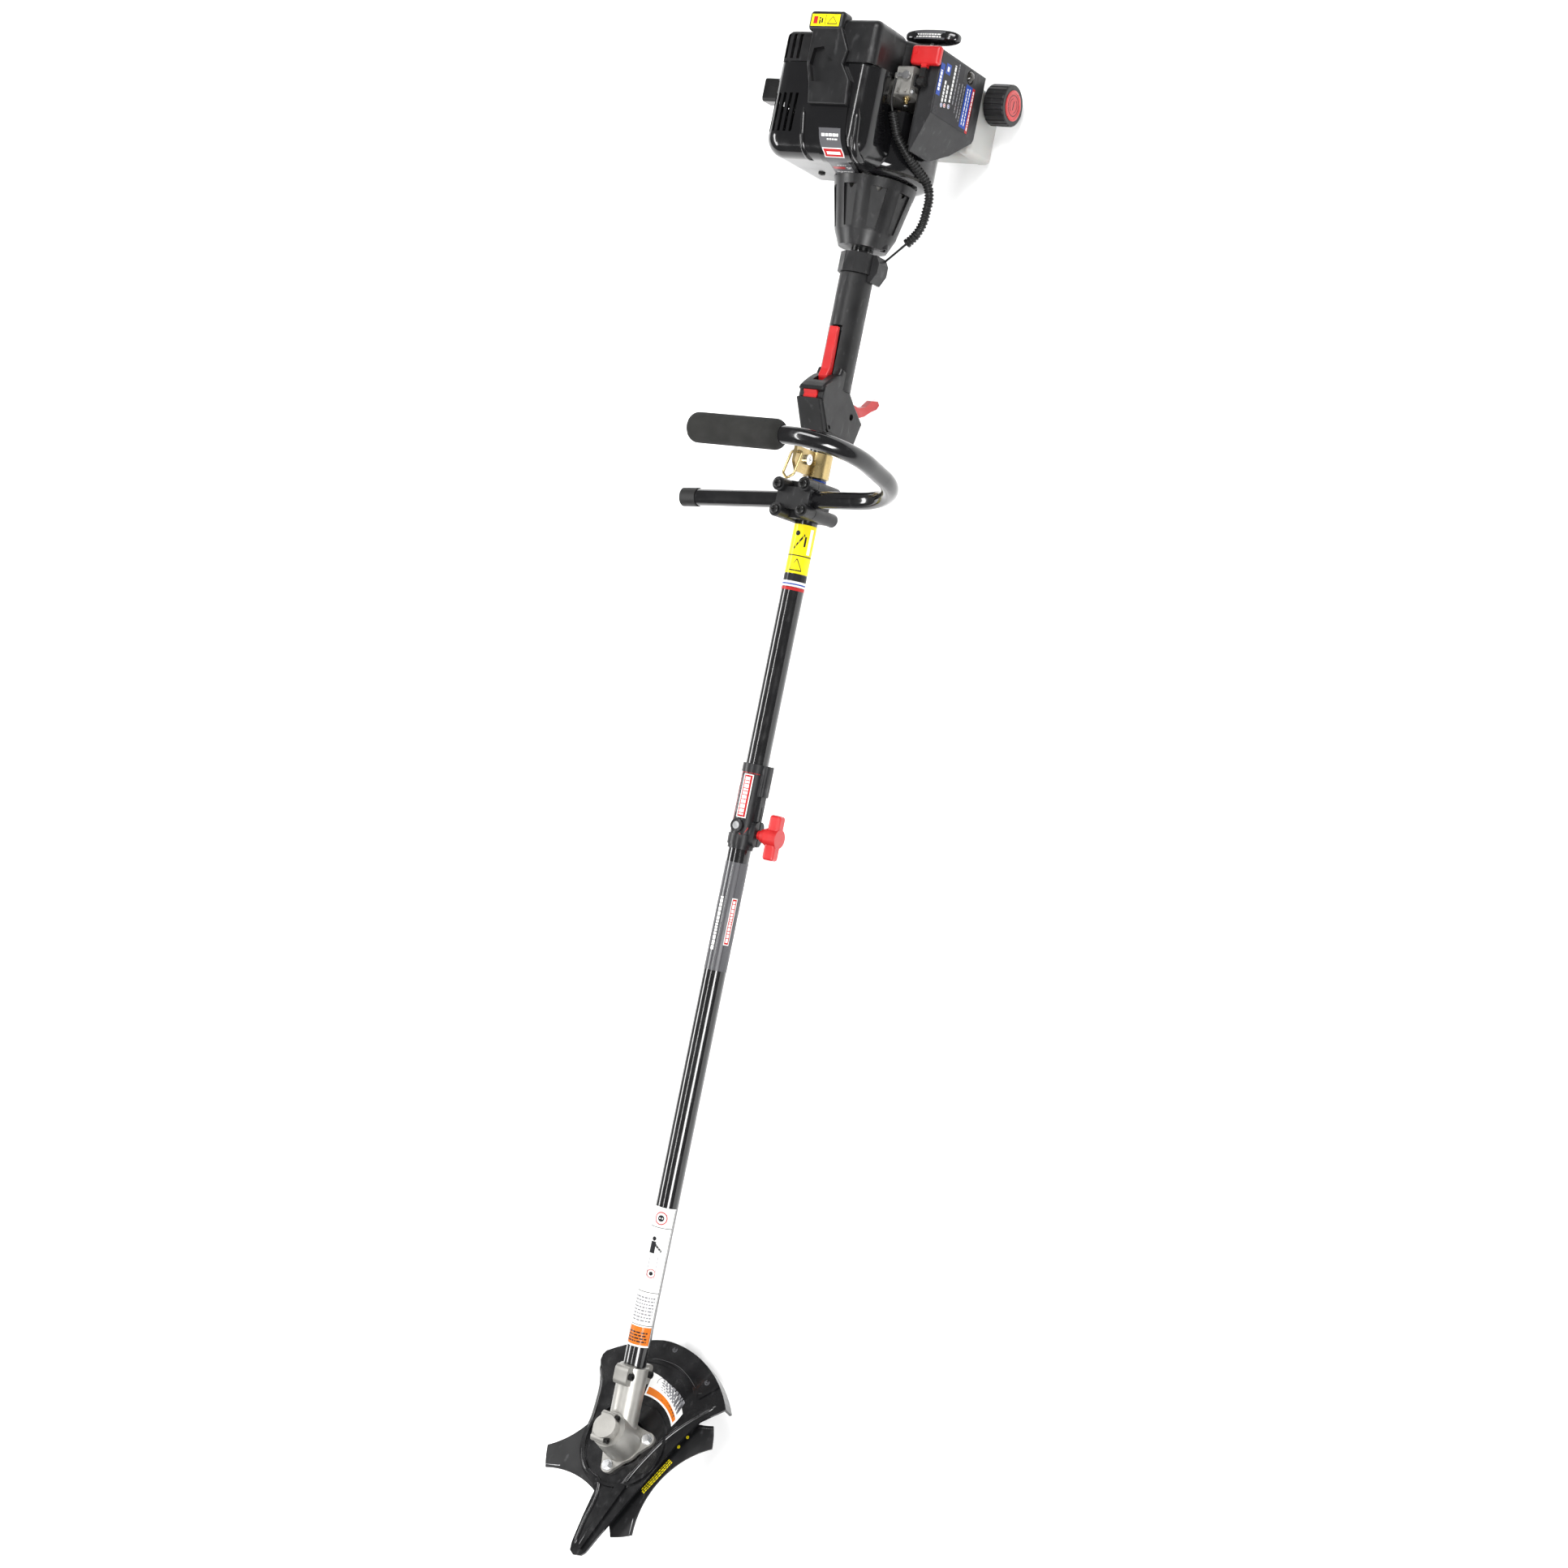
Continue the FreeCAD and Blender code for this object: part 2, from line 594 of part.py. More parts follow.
def make_handle_clamp():
    mid = dim("clamp_station")
    bar = dim("bar_height")
    ahead = (bar_point(10) - bar_point(-10)).normalize()
    bar_hole = cyl("bar_radius", 200, bar_point(0) - ahead * 100, ahead)
    boom_hole = cyl("boom_radius", 200, st(mid - 100), -X)
    lift = Z * (bar + 0.4)
    top = [box((-mid - 12, -21, bar + 0.4), (-mid + 12, 21, bar + 12.5))]
    low = [box((-mid - 20, -16, -15), (-mid + 20, 16, bar - 0.4))]
    low.append(box((-mid - 12, -21, 0), (-mid + 12, 21, bar - 0.4)))
    holes = []
    seats = []
    screws = []
    for post in clamp_posts():
        foot = V(post.x, post.y, 0)
        top.append(cyl(7.6, 18.6, foot + lift, Z))
        low.append(cyl(7.6, bar + 21.6, foot - Z * 22, Z))
        holes.append(cyl(2.3, 120, foot - Z * 20, Z))
        seats.append(cyl(5.2, 10, foot + Z * (bar + 17.6), Z))
        head = fillet(cyl(4.9, 4.6, foot + Z * (bar + 17.7), Z), 1.4, any_edge_above(bar + 22))
        shank = cyl(2.1, bar + 33, foot - Z * 15, Z)
        slots = cross_slots(foot + Z * (bar + 22.3), Z, 2.8, 0.55, 1.8)
        screws.append(cut(fuse(head, shank), *slots))
    on_boom("handle_clamp_top", cut(fuse(*top), bar_hole, *holes, *seats))
    slit = box((-mid - 40, -0.8, -40), (-mid + 40, 0.8, -5))
    on_boom("handle_clamp_base", cut(fuse(*low), bar_hole, boom_hole, *holes, slit))
    on_boom("bracket_screws", group(*screws, harness_screw()))


def any_edge_above(height):
    def pick(edge):
        return edge.BoundBox.ZMin > height
    return pick


# ---------------------------------------------------------------- harness bracket

def harness_screw():
    centre = st(dim("harness_station") + 2.7, 0, 26.7)
    screw = fuse(cyl(2.1, 9, centre - Y * 4.5, Y), cyl(5.8, 3.2, centre + Y * 2.1, Y),
                 hex_bar(7.5, 3.2, centre - Y * 5.4, Y))
    return cut(screw, *cross_slots(centre + Y * 5.3, Y, 3.6, 0.6, 1.4))


def make_harness():
    mid = dim("harness_station")
    boom_room = cyl("boom_radius", 60, st(mid - 30), -X)
    slit = box((-mid - 30, -1.2, 5), (-mid + 30, 1.2, 30))
    band = cut(cyl("boom_radius + 1.8", 27, st(mid - 13.5), -X), boom_room, slit)
    front, rear = -mid + 13.5, -mid - 13.5
    outline = [(rear, 0, 12.8), (front, 0, 12.8), (front, 0, 42), (-mid + 3, 0, 50), (rear, 0, 50)]
    ears = [prism([V(p) + Y * side for p in outline], 2.0, Y) for side in (-2.0, 0.0)]
    plates = cut(fuse(*ears), boom_room, cyl(2.3, 20, st(mid + 2.7, -10, 26.7), Y),
                 cyl(2.1, 20, st(mid + 7.5, -10, 45.5), Y))
    on_boom("harness_clamp", fuse(band, plates))
    pivot = st(mid + 7.5, 0, 45.5)
    reach = (st(mid - 24, 0, 56) - pivot).normalize()
    side = Y * 7.0
    route = [pivot + Y * 0.01, pivot - side, pivot - side + reach * 27, pivot + reach * 33.5,
             pivot + side + reach * 27, pivot + side, pivot + Y * 0.01]
    on_boom("harness_loop", tube_along(route, [3.0, 3.4, 3.4, 3.4, 3.0], 1.5))


# ---------------------------------------------------------------- rear grip and controls

def grip_body():
    """Both grip shells as one body before the split, in boom axes."""
    end = dim("rear_grip_end")
    handle = cyl("rear_grip_radius", 128, st(end - 128), -X)
    outline = [(1112, -36), (1119, 25), (1151, 46.5), (1153, 42), (1159, 42), (1161, 45.5), (1165, 43.5),
               (1170, 38.5), (1176, 31), (1181, 23.5), (1184, 17), (1191, 15), (1191, -8), (1170, -10),
               (1160, -22), (1143, -46)]
    block = fillet(prism([st(t, -17, u) for t, u in outline], 34, Y), 4.0, edge_on_side(16.9))
    hollow = [(1117, -32), (1122, 21), (1148, 38), (1164, 40.2), (1171, 32), (1177, 20), (1182, 13.5),
              (1186, 13.5), (1186, -6), (1172, -6.5), (1157.5, -20), (1142.5, -40)]
    room = prism([st(t, -13.8, u) for t, u in hollow], 27.6, Y)
    boom_room = cyl("boom_radius", 400, st(1000), -X)
    pivot, drop = dim("trigger_station"), dim("trigger_drop")
    tools = [
        room,
        cyl("rear_grip_radius - 3.0", 112, st(end - 116), -X),
        boom_room,
        box((-1238, -6.3, 13.4), (-1173, 6.3, 40)),
        box((-1171, -4.0, -60), (-1146, 4.0, -10)),
        box((-1192, -2.0, -16.2), (-1165, 2.0, -12)),
        cable_room(),
        box((-1160.5, -9.0, 30), (-1151.5, 9.0, 60)),
    ]
    posts = [cyl(4.6, 28, st(t, -14, u), Y) for t, u, side in SCREW_POSTS]
    posts += [cyl(5.2, 9.6, st(pivot, left, -drop), Y) for left in (-14.4, 4.8)]
    collar_seat = cut(cyl("rear_grip_radius - 1.0", 5.0, st(end - 5), -X), boom_room, cable_room())
    front_seat = cut(box((-1121, -14, -24), (-1116, 14, 18)), boom_room)
    holes = [cyl(2.65, 28, st(pivot, -14, -drop), Y), cyl(3.6, 80, st(pivot, 13.2, -drop), Y),
             cyl(3.6, 80, st(pivot, -13.2, -drop), -Y)]
    holes.append(cyl(2.05, 18.6, st(LOCKOUT_PIVOT[0], -9.3, LOCKOUT_PIVOT[1]), Y))
    for t, u, side in SCREW_POSTS:
        holes.append(cyl(2.0, 26, st(t, -13, u), Y))
        holes.append(cyl(4.0, 10, st(t, 12.5 * side, u), Y * side))
    shells = cut(fuse(cut(fuse(handle, block), *tools), cut(fuse(*posts), boom_room)), *holes)
    return fuse(shells, cut(fuse(collar_seat, front_seat), *holes))


# station, height and the side from which each screw enters: 1 is the left, -1 the right
LOCKOUT_PIVOT = (1179.0, 20.5)
SCREW_POSTS = [(1123.6, 20.9, 1), (1128.0, -30.0, -1)]


def cable_room():
    return cyl(3.4, 60, st(1250, 0, -14.2), -X)


def edge_on_side(limit):
    def pick(edge):
        box_ = edge.BoundBox
        return box_.YMin > limit or box_.YMax < -limit
    return pick


def make_grip():
    for label, low, high in (("grip_left_shell", 0, 40), ("grip_right_shell", -40, 0)):
        side = box((-1330, low, -80), (-1100, high, 80))
        on_boom(label, common(grip_body(), side))
    screws = []
    for t, u, side in SCREW_POSTS:
        out = Y * side
        head = cyl(3.6, 2.4, st(t, 12.6 * side, u), out)
        shank = cyl(1.8, 21, st(t, -8.2 * side, u), out)
        screws.append(cut(fuse(head, shank), *cross_slots(st(t, 15 * side, u), Y, 2.2, 0.4, 1.2)))
    on_boom("grip_screws", group(*screws))


def make_controls():
    pivot, drop = dim("trigger_station"), dim("trigger_drop")
    outline = [(1147, -38), (1141.5, -24), (1141.5, -16), (1149, -15.5), (1158, -20.5), (1163, -34),
               (1161.5, -52), (1166, -66), (1175, -76), (1177, -88), (1173.5, -92), (1168, -88),
               (1163, -78), (1155, -66), (1149.5, -52)]
    paddle = prism([st(t, -3.6, u) for t, u in outline], 7.2, Y)
    pin = cyl(2.6, 25.6, st(pivot, -12.8, -drop), Y)
    on_boom("throttle_trigger", fuse(paddle, pin))
    outline = [(1174, 17.5), (1174, 24.5), (1180, 28), (1188, 25), (1235, 24.5), (1235, 20), (1195, 17.5)]
    lever = prism([st(t, -5.6, u) for t, u in outline], 11.2, Y)
    hinge_pin = cyl(2.0, 18, st(LOCKOUT_PIVOT[0], -9, LOCKOUT_PIVOT[1]), Y)
    on_boom("lockout_lever", fuse(fillet(lever, 1.2, edge_on_side(5.5)), hinge_pin))
    outline = [(1152, 38.6), (1152, 43.8), (1156, 42.6), (1160, 45.4), (1160, 38.6)]
    on_boom("stop_switch", prism([st(t, -8.4, u) for t, u in outline], 16.8, Y))


def cable_points():
    return [st(t, left, up) for t, left, up in CABLE_PATH]


def make_grip_collar():
    front = dim("rear_grip_end") + 0.6
    nut = [V(0, 22.0 * math.cos(math.radians(36 * k)), 22.0 * math.sin(math.radians(36 * k)))
           for k in range(10)]
    ring = prism([p + st(front + 22) for p in nut], 22, X)
    outline = [(front + 22, 10), (front + 22, 24), (front + 14, 29), (front + 3, 29), (front - 8, 22.5),
               (front - 8, 19.5), (front, 10)]
    wedge = prism([st(t, left, -14) for t, left in outline], 20, Z)
    body = cut(fuse(ring, wedge), cyl("boom_radius", 100, st(front - 30), -X),
               cyl("rear_grip_radius + 0.3", 9, st(front - 9), -X))
    lane = tube_along([st(front - 30, 0, CABLE_PATH[1][2])] + cable_points()[1:4], CABLE_BENDS[:2], 1.6)
    on_boom("grip_collar", cut(body, lane))


# station, left and up of the throttle cable's corners, and the bend at each inner corner
CABLE_PATH = [(1173, 0.0, -14.25), (1300, 0.0, -14.25), (1316, 24.0, -11.0), (1352, 66.0, -6.5),
              (1398, 71.0, -3.0), (1419, 60.0, 36.0), (1437, 51.5, 55.0), (1470, 46.5, 74.0),
              (1494, 49.0, 75.7)]
CABLE_BENDS = [14, 24, 40, 30, 30, 40, 30]


def make_throttle_line():
    """Bare cable from the trigger to the carburettor, and the corrugated sleeve over its middle."""
    points = cable_points()
    on_boom("throttle_cable", tube_along(points, CABLE_BENDS, dim("cable_radius")))
    sleeve_start = points[2] + (points[3] - points[2]) * 0.62
    sleeve = [sleeve_start] + points[3:7] + [points[6] + (points[7] - points[6]) * 0.7]
    on_boom("cable_conduit", tube_along(sleeve, CABLE_BENDS[2:6], 5.2, 3.4))


# ---------------------------------------------------------------- engine

CHOKE_PIVOT = (1497.0, 56.0)


def make_clutch():
    front = dim("clutch_front")
    length = dim("clutch_length")
    shell = fuse(cone(27, 34, 16, st(front), -X), cone(34, 46, length - 16, st(front + 16), -X))
    boss = cyl(8, 50, st(front + 2, 22.5, -2), -X)
    hollow = cone(31, 43, length - 16, st(front + 16.02), -X)
    inner = fuse(hollow, cyl("boom_radius", 60, st(front - 20), -X))
    body = cut(fuse(shell, boss), inner, cyl(3.0, 9, st(front, 25, -2), -X))
    on_boom("clutch_cover", cut(body, dent_ring(front)))
    drum_start = front + 42
    drum = cut(fuse(cyl(35, 24, st(drum_start), -X), cyl(8, 12, st(drum_start - 8), -X)),
               cyl(33, 30, st(drum_start + 2.5), -X))
    on_boom("clutch_drum", cut(drum, cyl("shaft_radius", 40, st(drum_start - 20), -X)))
    rotor_start = drum_start + 5
    shoes = []
    for middle in (0, 180):
        arc = [math.radians(middle + a) for a in (-70, -25, 25, 70)]
        sector = [V(0, 0, 0)] + [V(0, 60 * math.cos(a), 60 * math.sin(a)) for a in arc]
        wedge = prism([p + st(rotor_start) for p in sector], 14, -X)
        ring = cut(cyl(32.4, 14, st(rotor_start), -X), cyl(16, 20, st(rotor_start - 2), -X))
        shoes.append(common(ring, wedge))
    arms = box((-rotor_start - 14, -5, -22), (-rotor_start, 5, 22))
    hub = fuse(arms, cyl(11, 14, st(rotor_start), -X), cyl(18, 3, st(rotor_start + 5), -X), *shoes)
    on_boom("clutch_rotor", cut(hub, cyl(6, 60, st(rotor_start - 20), -X)))


def dent_ring(front):
    """Tapered pockets round the outside of the clutch cover."""
    pieces = []
    for k in range(8):
        a = math.radians(45 * k + 5)
        out = V(0, math.cos(a), math.sin(a))
        side = V(0, -math.sin(a), math.cos(a))
        low = st(front + 18) + out * 32.9
        high = st(front + 62) + out * 40.7
        ring = [low - side * 5, low + side * 5, high + side * 9, high - side * 9]
        pieces.append(prism(ring, 14, out))
    return fuse(*pieces)


def make_crank_train():
    mid = dim("cylinder_station")
    port = mid + 9
    case = fuse(cyl(33, 58, st(mid - 29), -X), cyl(17, 26, st(mid - 52), -X),
                box((-mid - 28, -27, 0), (-mid + 28, 27, 33)))
    hollow = fuse(cyl(27, 30, st(mid - 15), -X), cyl(16.5, 30, st(mid, 0, 10), Z),
                  cyl(6.05, 200, st(mid - 100), -X))
    on_boom("crankcase", cut(case, hollow))
    shaft = cyl(6, 147, st(mid - 111), -X)
    webs = cut(cyl(25, 22, st(mid - 11), -X), cyl(40, 10, st(mid - 5), -X),
               box((-mid - 40, -40, 8), (-mid + 40, 40, 40)))
    pin = cyl(4.5, 22, st(mid - 11, 0, 5), -X)
    on_boom("crankshaft", fuse(shaft, webs, pin))
    fins = [fillet(box((-mid - 27, -29, u), (-mid + 27, 29, u + 1.8)), 6, straight_along(Z))
            for u in range(40, 82, 6)]
    barrel = fuse(cyl(21, 50, st(mid, 0, 33), Z), *fins, cyl(9, 38, st(port, 0, 52), Y),
                  cyl(8, 38, st(mid, 0, 58), -Y))
    bores = [cyl(16.5, 44, st(mid, 0, 30), Z), cyl(6, 50, st(port, 10, 52), Y),
             cyl(5, 50, st(mid, -10, 58), -Y), cyl(4.2, 30, st(mid, 0, 70), Z)]
    on_boom("cylinder", cut(barrel, *bores))
    plug = fuse(cyl(4.0, 8, st(mid, 0, 75.2), Z), hex_bar(12, 5, st(mid, 0, 83.2), Z),
                cyl(6.5, 8, st(mid, 0, 88.2), Z), box((-mid - 16, -5, 89.5), (-mid, 5, 96)))
    on_boom("spark_plug", plug)
    disc = cut(cyl(50, 8, st(1416), -X), cyl(6, 60, st(1400), -X))
    blades = [box((-1435, 26, -1.2), (-1424, 49, 1.2), FreeCAD.Rotation(X, 30 * k), (0, 0, 0))
              for k in range(12)]
    on_boom("flywheel", fuse(disc, *blades))


def make_shroud():
    """Glossy fan and cylinder cover with exhaust louvres on the operator's right."""
    def shell(grow, near, far, upper_far):
        bowl = cyl(dim("fan_radius") + grow, far - near, st(near), -X)
        upper = box((-upper_far, -92 - grow, 0), (-near, 40 + grow, 103 + grow))
        return bowl, upper

    def top_corner(edge):
        return straight_along(X)(edge) and edge.BoundBox.ZMin > 50

    bowl, upper = shell(0, 1400, 1512.6, 1500)
    upper = fillet(upper, 24, top_corner)
    upper = fillet(upper, 22, lambda e: e.BoundBox.XMin > -1401 and e.BoundBox.ZMax > 10)
    bowl = fillet(bowl, 14, lambda e: e.BoundBox.XMin > -1401 and e.BoundBox.XLength < 1)
    inside_bowl, inside_upper = shell(-3, 1403, 1520, 1520)
    inside_upper = fillet(inside_upper, 21, top_corner)
    inside_upper = fillet(inside_upper, 19, lambda e: e.BoundBox.XMin > -1404 and e.BoundBox.ZMax > 10)
    louvres = [box((-1484, -100, 20 + 11 * k), (-1440, -84, 26 + 11 * k)) for k in range(3)]
    louvres += [box((-1466, -86 + 7.6 * k, 78), (-1424, -82.4 + 7.6 * k, 120)) for k in range(5)]
    outlet = box((-1491, -100, 59), (-1459, -80, 85))
    mouth = cyl(40, 20, st(1390), -X)
    carb_gap = box((-1521, 30, 14), (-1468, 60, 72))
    on_boom("engine_shroud", cut(fuse(bowl, upper), inside_bowl, inside_upper, mouth, *louvres, outlet,
                                 carb_gap))


def make_top_cover():
    """Cylinder cover: slotted step on the right, raised console with a pocket, label block."""
    def rounded(edge):
        return edge.BoundBox.XMax < -1500.4 or (straight_along(X)(edge) and edge.BoundBox.ZMin > 100)

    main = fillet(box((-1548, -52, 40), (-1500.3, 36, 106)), 9, rounded)
    side = fillet(box((-1535, -84, 40), (-1500.3, -40, 104)), 9, rounded)
    block = fillet(box((-1554, -53, 92), (-1532, -8, 111)), 5, any_edge)
    outline = [(1453, -34), (1453, 15), (1480, 13), (1497, 1), (1512, 4), (1536, -9), (1536, -46),
               (1497, -45.5), (1476, -38.5)]
    console = prism([st(t, left, 103.3) for t, left in outline], 6.7)
    console = fillet(console, 2.0, lambda e: e.BoundBox.ZMin > 109.9)
    pocket = [(1513, -39), (1515, -27), (1506, -22), (1500, -12), (1495, -23), (1477, -19),
              (1477, -34), (1496, -41)]
    inner = box((-1544.5, -48.5, 30), (-1490, 32.5, 102.5))
    side_inner = box((-1531.5, -80.5, 30), (-1490, -44, 100.5))
    slots = [box((-1530, -80 + 8 * k, 99), (-1503, -76.2 + 8 * k, 120)) for k in range(3)]
    recess = prism([st(t, left, 104.4) for t, left in pocket], 20)
    starter_room = cyl("fan_radius + 0.4", 100, st(1490), -X)
    on_boom("top_cover", cut(fuse(main, side, block, console), inner, side_inner, recess, *slots,
                             starter_room))


def make_muffler():
    mid = dim("cylinder_station")
    body = fillet(box((-1498, -79, 36), (-1454, -39, 86)), 6, any_edge)
    body = cut(body, box((-1494, -75, 40), (-1458, -42, 82)))
    outlet = fillet(box((-1488, -113, 61), (-1462, -77, 83)), 4, straight_along(Y))
    ribs = [box((-1483, -120, 66 + 5 * k), (-1467, -100, 68.5 + 5 * k)) for k in range(3)]
    outlet = cut(outlet, box((-1485, -108, 64), (-1465, -80, 80)), *ribs)
    ports = [cyl(5, 10, st(mid, -46, 58), Y), box((-1484, -90, 65), (-1466, -70, 79))]
    on_boom("muffler", cut(fuse(body, outlet), *ports))


def make_intake():
    port = dim("cylinder_station") + 9
    spacer = box((-port - 13, 38.3, 41), (-port + 13, 43, 63))
    body = fillet(box((-1511, 42, 36), (-1479, 62, 66)), 3, straight_along(Y))
    bowl = cyl(11, 12, st(port + 3, 51, 24.5), Z)
    screws = [cyl(2.2, 2.5, st(1484.5, left, 65.5), Z) for left in (47, 57)]
    barrel = cut(fuse(spacer, body, bowl, *screws), cyl(6, 60, st(port, 30, 52), Y),
                 cyl(2.05, 8, st(1500, 56, 60), Z))
    on_boom("carburetor", barrel)
    arm = fuse(cyl(4.4, 2.6, st(1500, 56, 67.5), Z), box((-1502, 44, 67.5), (-1498, 56, 69.5)),
               cyl(2.0, 9, st(1500, 56, 60.5), Z))
    on_boom("throttle_arm", arm)
    head = fillet(box((-1536, 50, 51), (-1515, 86, 59.5)), 3.5, any_edge)
    stem = box((-1518, 65.2, 53), (-1499, 72.0, 58.5))
    hub = cyl(5.5, 7.5, st(CHOKE_PIVOT[0], 65.2, CHOKE_PIVOT[1]), Y)
    bore = cyl(2.05, 20, st(CHOKE_PIVOT[0], 60, CHOKE_PIVOT[1]), Y)
    on_boom("choke_lever", cut(fuse(head, stem, hub), bore))


def cover_form(inset, low, high):
    """Air cleaner cover solid: plan from the side crossed with its sloping front profile."""
    i = inset
    plan = [(1462 + i / 2, -46 + i), (1440 + i, -20 + i / 2), (1424 + i, 10), (1424 + i, 50 - i),
            (1535 - i, 50 - i), (1535 - i, -46 + i)]
    side = [(1424, low), (1424, 66.8 - i), (1468, high), (1535, high), (1535, low)]
    across = prism([st(t, low, u) for t, u in plan], high - low, Y)
    along = prism([st(t, left, -46) for t, left in side], 96, Z)
    return common(across, along)


def make_air_cleaner():
    primer = dim("primer_station")
    outer = fillet(cover_form(0.0, 64.9, 84.0), 1.5, edge_above_y(83.9))
    windows = [box((-t - 9, 71, -50), (-t, 79, -40)) for t in (1465, 1483, 1502)]
    bulb_hole = cyl(7.4, 40, st(primer, 60, -14), Y)
    on_boom("air_cleaner_cover", cut(outer, cover_form(3.0, 64.0, 81.0), *windows, bulb_hole))
    plan = [(1464.5, -45.5), (1440.5, -19.5), (1430, 10), (1430, 49.5), (1534.5, 49.5), (1534.5, -45.5)]
    plate = prism([st(t, 62.4, u) for t, u in plan], 2.2, Y)
    foam = box((-1526, 64.4, -3), (-1474, 78, 40))
    seat = cyl(7.0, 10, st(primer, 64, -14), Y)
    tab = box((-1503, 62.4, 44), (-1491, 64.6, 62))
    pin = cyl(2.0, 11, st(CHOKE_PIVOT[0], 62.4, CHOKE_PIVOT[1]), Y)
    on_boom("air_box", fuse(plate, foam, seat, tab, pin))


def edge_above_y(limit):
    def pick(edge):
        return edge.BoundBox.YMin > limit
    return pick


def make_primer():
    dome = [(0, 0), (7.0, 0), (7.0, 3.5), (6.4, 6.0), (4.8, 8.0), (2.6, 9.2), (0, 9.6)]
    on_boom("primer_bulb", revolved(dome, st(dim("primer_station"), 78.2, -14), Y))


def make_tank():
    station = dim("cap_station")
    axis = st(station, 0, -69.4)
    slab = fillet(box((-1526, -62, -98), (-1452, 80, -66)), 9, any_edge)
    lobe = fillet(box((-1526, 62.8, -98), (-1452, 80, -46.6)), 6, any_edge)
    inner = fuse(fillet(box((-1523, -59, -95), (-1455, 77, -69)), 6, any_edge),
                 fillet(box((-1523, 65.8, -95), (-1455, 77, -49.6)), 4, any_edge))
    neck = cyl(13, 9, axis + Y * 77.5, Y)
    saddle = box((-1520, -20, -67), (-1460, 20, -62.6))
    body = fuse(cut(fuse(slab, lobe), inner), neck, saddle)
    on_boom("fuel_tank", cut(body, cyl(9.2, 30, axis + Y * 70, Y)))
    cap = fillet(cyl(22.6, 25.4, axis + Y * 84.6, Y), 2.0, any_edge)
    neck_room = cut(cyl(13.4, 3, axis + Y * 84, Y), cyl(9.0, 20, axis + Y * 80, Y))
    plug = cyl(9.0, 8, axis + Y * 79, Y)
    grooves = []
    for k in range(24):
        a = math.radians(15 * k)
        grooves.append(cyl(1.4, 60, axis + V(23.0 * math.cos(a), 80, 23.0 * math.sin(a)), Y))
    on_boom("fuel_cap", cut(fuse(cap, plug), neck_room, *grooves))


def make_starter():
    r = dim("fan_radius") - 2.0
    rope = V(0, 46, 16)
    cup = cut(fillet(cyl(r, 32, st(1513), -X), 8, lambda e: e.BoundBox.XMax < -1540),
              cyl(r - 3, 28, st(1511.5), -X), cyl(3.0, 40, st(1530) + rope, -X), carb_corner())
    eyelet = cut(cyl(6, 4, st(1542.5) + rope, -X), cyl(2.2, 20, st(1530) + rope, -X))
    post = cyl(4.95, 16, st(1524), -X)
    on_boom("starter_housing", fuse(cup, eyelet, post))
    groove = cut(cyl(40, 5, st(1528), -X), cyl(24, 20, st(1520), -X))
    on_boom("starter_pulley", cut(cyl(28, 9, st(1526), -X), groove, cyl(5.0, 30, st(1510), -X)))
    grip = fillet(box((-1566, 13, 6), (-1549.5, 80, 26)), 7.5, any_edge)
    on_boom("starter_grip", cut(grip, cyl(2.2, 12, st(1548) + rope, -X)))
    on_boom("starter_rope", cyl(2.0, 21.5, st(1537.5) + rope, -X))


def carb_corner():
    return box((-1530, 41, 12), (-1490, 80, 80))


def clean_up():
    doc.recompute()
    for label, obj in NODES.items():
        shape = obj.Shape
        bad = "Invalid" in obj.State or "Error" in obj.State
        if bad or shape.isNull() or not shape.isValid() or not shape.Solids:
            raise RuntimeError(f"{label}: {obj.State} {len(shape.Solids)} solids, valid {shape.isValid()}")
        b = shape.BoundBox
        print(f"{label:22s} solids {len(shape.Solids)} vol {shape.Volume / 1000:8.2f} cm3 "
              f"x {b.XMin:8.1f} {b.XMax:8.1f} y {b.YMin:7.1f} {b.YMax:7.1f} z {b.ZMin:7.1f} {b.ZMax:7.1f}")
        shape.exportStep(f"parts/{label}.step")


make_blade()
make_blade_mounting()
make_gears()
make_head_bearings()
make_housing()
make_head_screws()
make_guard()
make_boom_tubes()
make_drive_shafts()
make_bushings()
make_coupler()
make_handle()
make_handle_clamp()
make_harness()
make_grip()
make_controls()
make_grip_collar()
make_throttle_line()
make_clutch()
make_crank_train()
make_shroud()
make_top_cover()
make_muffler()
make_intake()
make_air_cleaner()
make_primer()
make_tank()
make_starter()
clean_up()
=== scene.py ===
import json
import math
import random

import bmesh
import bpy
from mathutils import Matrix, Vector


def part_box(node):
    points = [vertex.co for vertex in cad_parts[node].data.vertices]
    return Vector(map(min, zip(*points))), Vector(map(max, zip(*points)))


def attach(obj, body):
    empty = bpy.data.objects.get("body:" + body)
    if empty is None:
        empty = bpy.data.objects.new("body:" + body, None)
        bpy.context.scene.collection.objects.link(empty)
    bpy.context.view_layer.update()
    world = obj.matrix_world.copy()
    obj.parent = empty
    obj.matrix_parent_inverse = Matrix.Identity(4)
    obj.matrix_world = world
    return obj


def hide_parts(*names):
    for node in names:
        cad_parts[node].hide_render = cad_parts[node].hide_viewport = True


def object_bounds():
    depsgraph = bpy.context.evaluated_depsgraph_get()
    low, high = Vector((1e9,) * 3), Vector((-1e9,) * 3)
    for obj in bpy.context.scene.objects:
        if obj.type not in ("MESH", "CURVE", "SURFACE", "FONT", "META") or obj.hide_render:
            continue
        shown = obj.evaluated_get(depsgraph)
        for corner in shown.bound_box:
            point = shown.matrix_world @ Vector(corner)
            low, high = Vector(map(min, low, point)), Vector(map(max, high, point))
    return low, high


# Brush cutter looks: metres, +X forward along the boom, +Y the operator's left, +Z up.

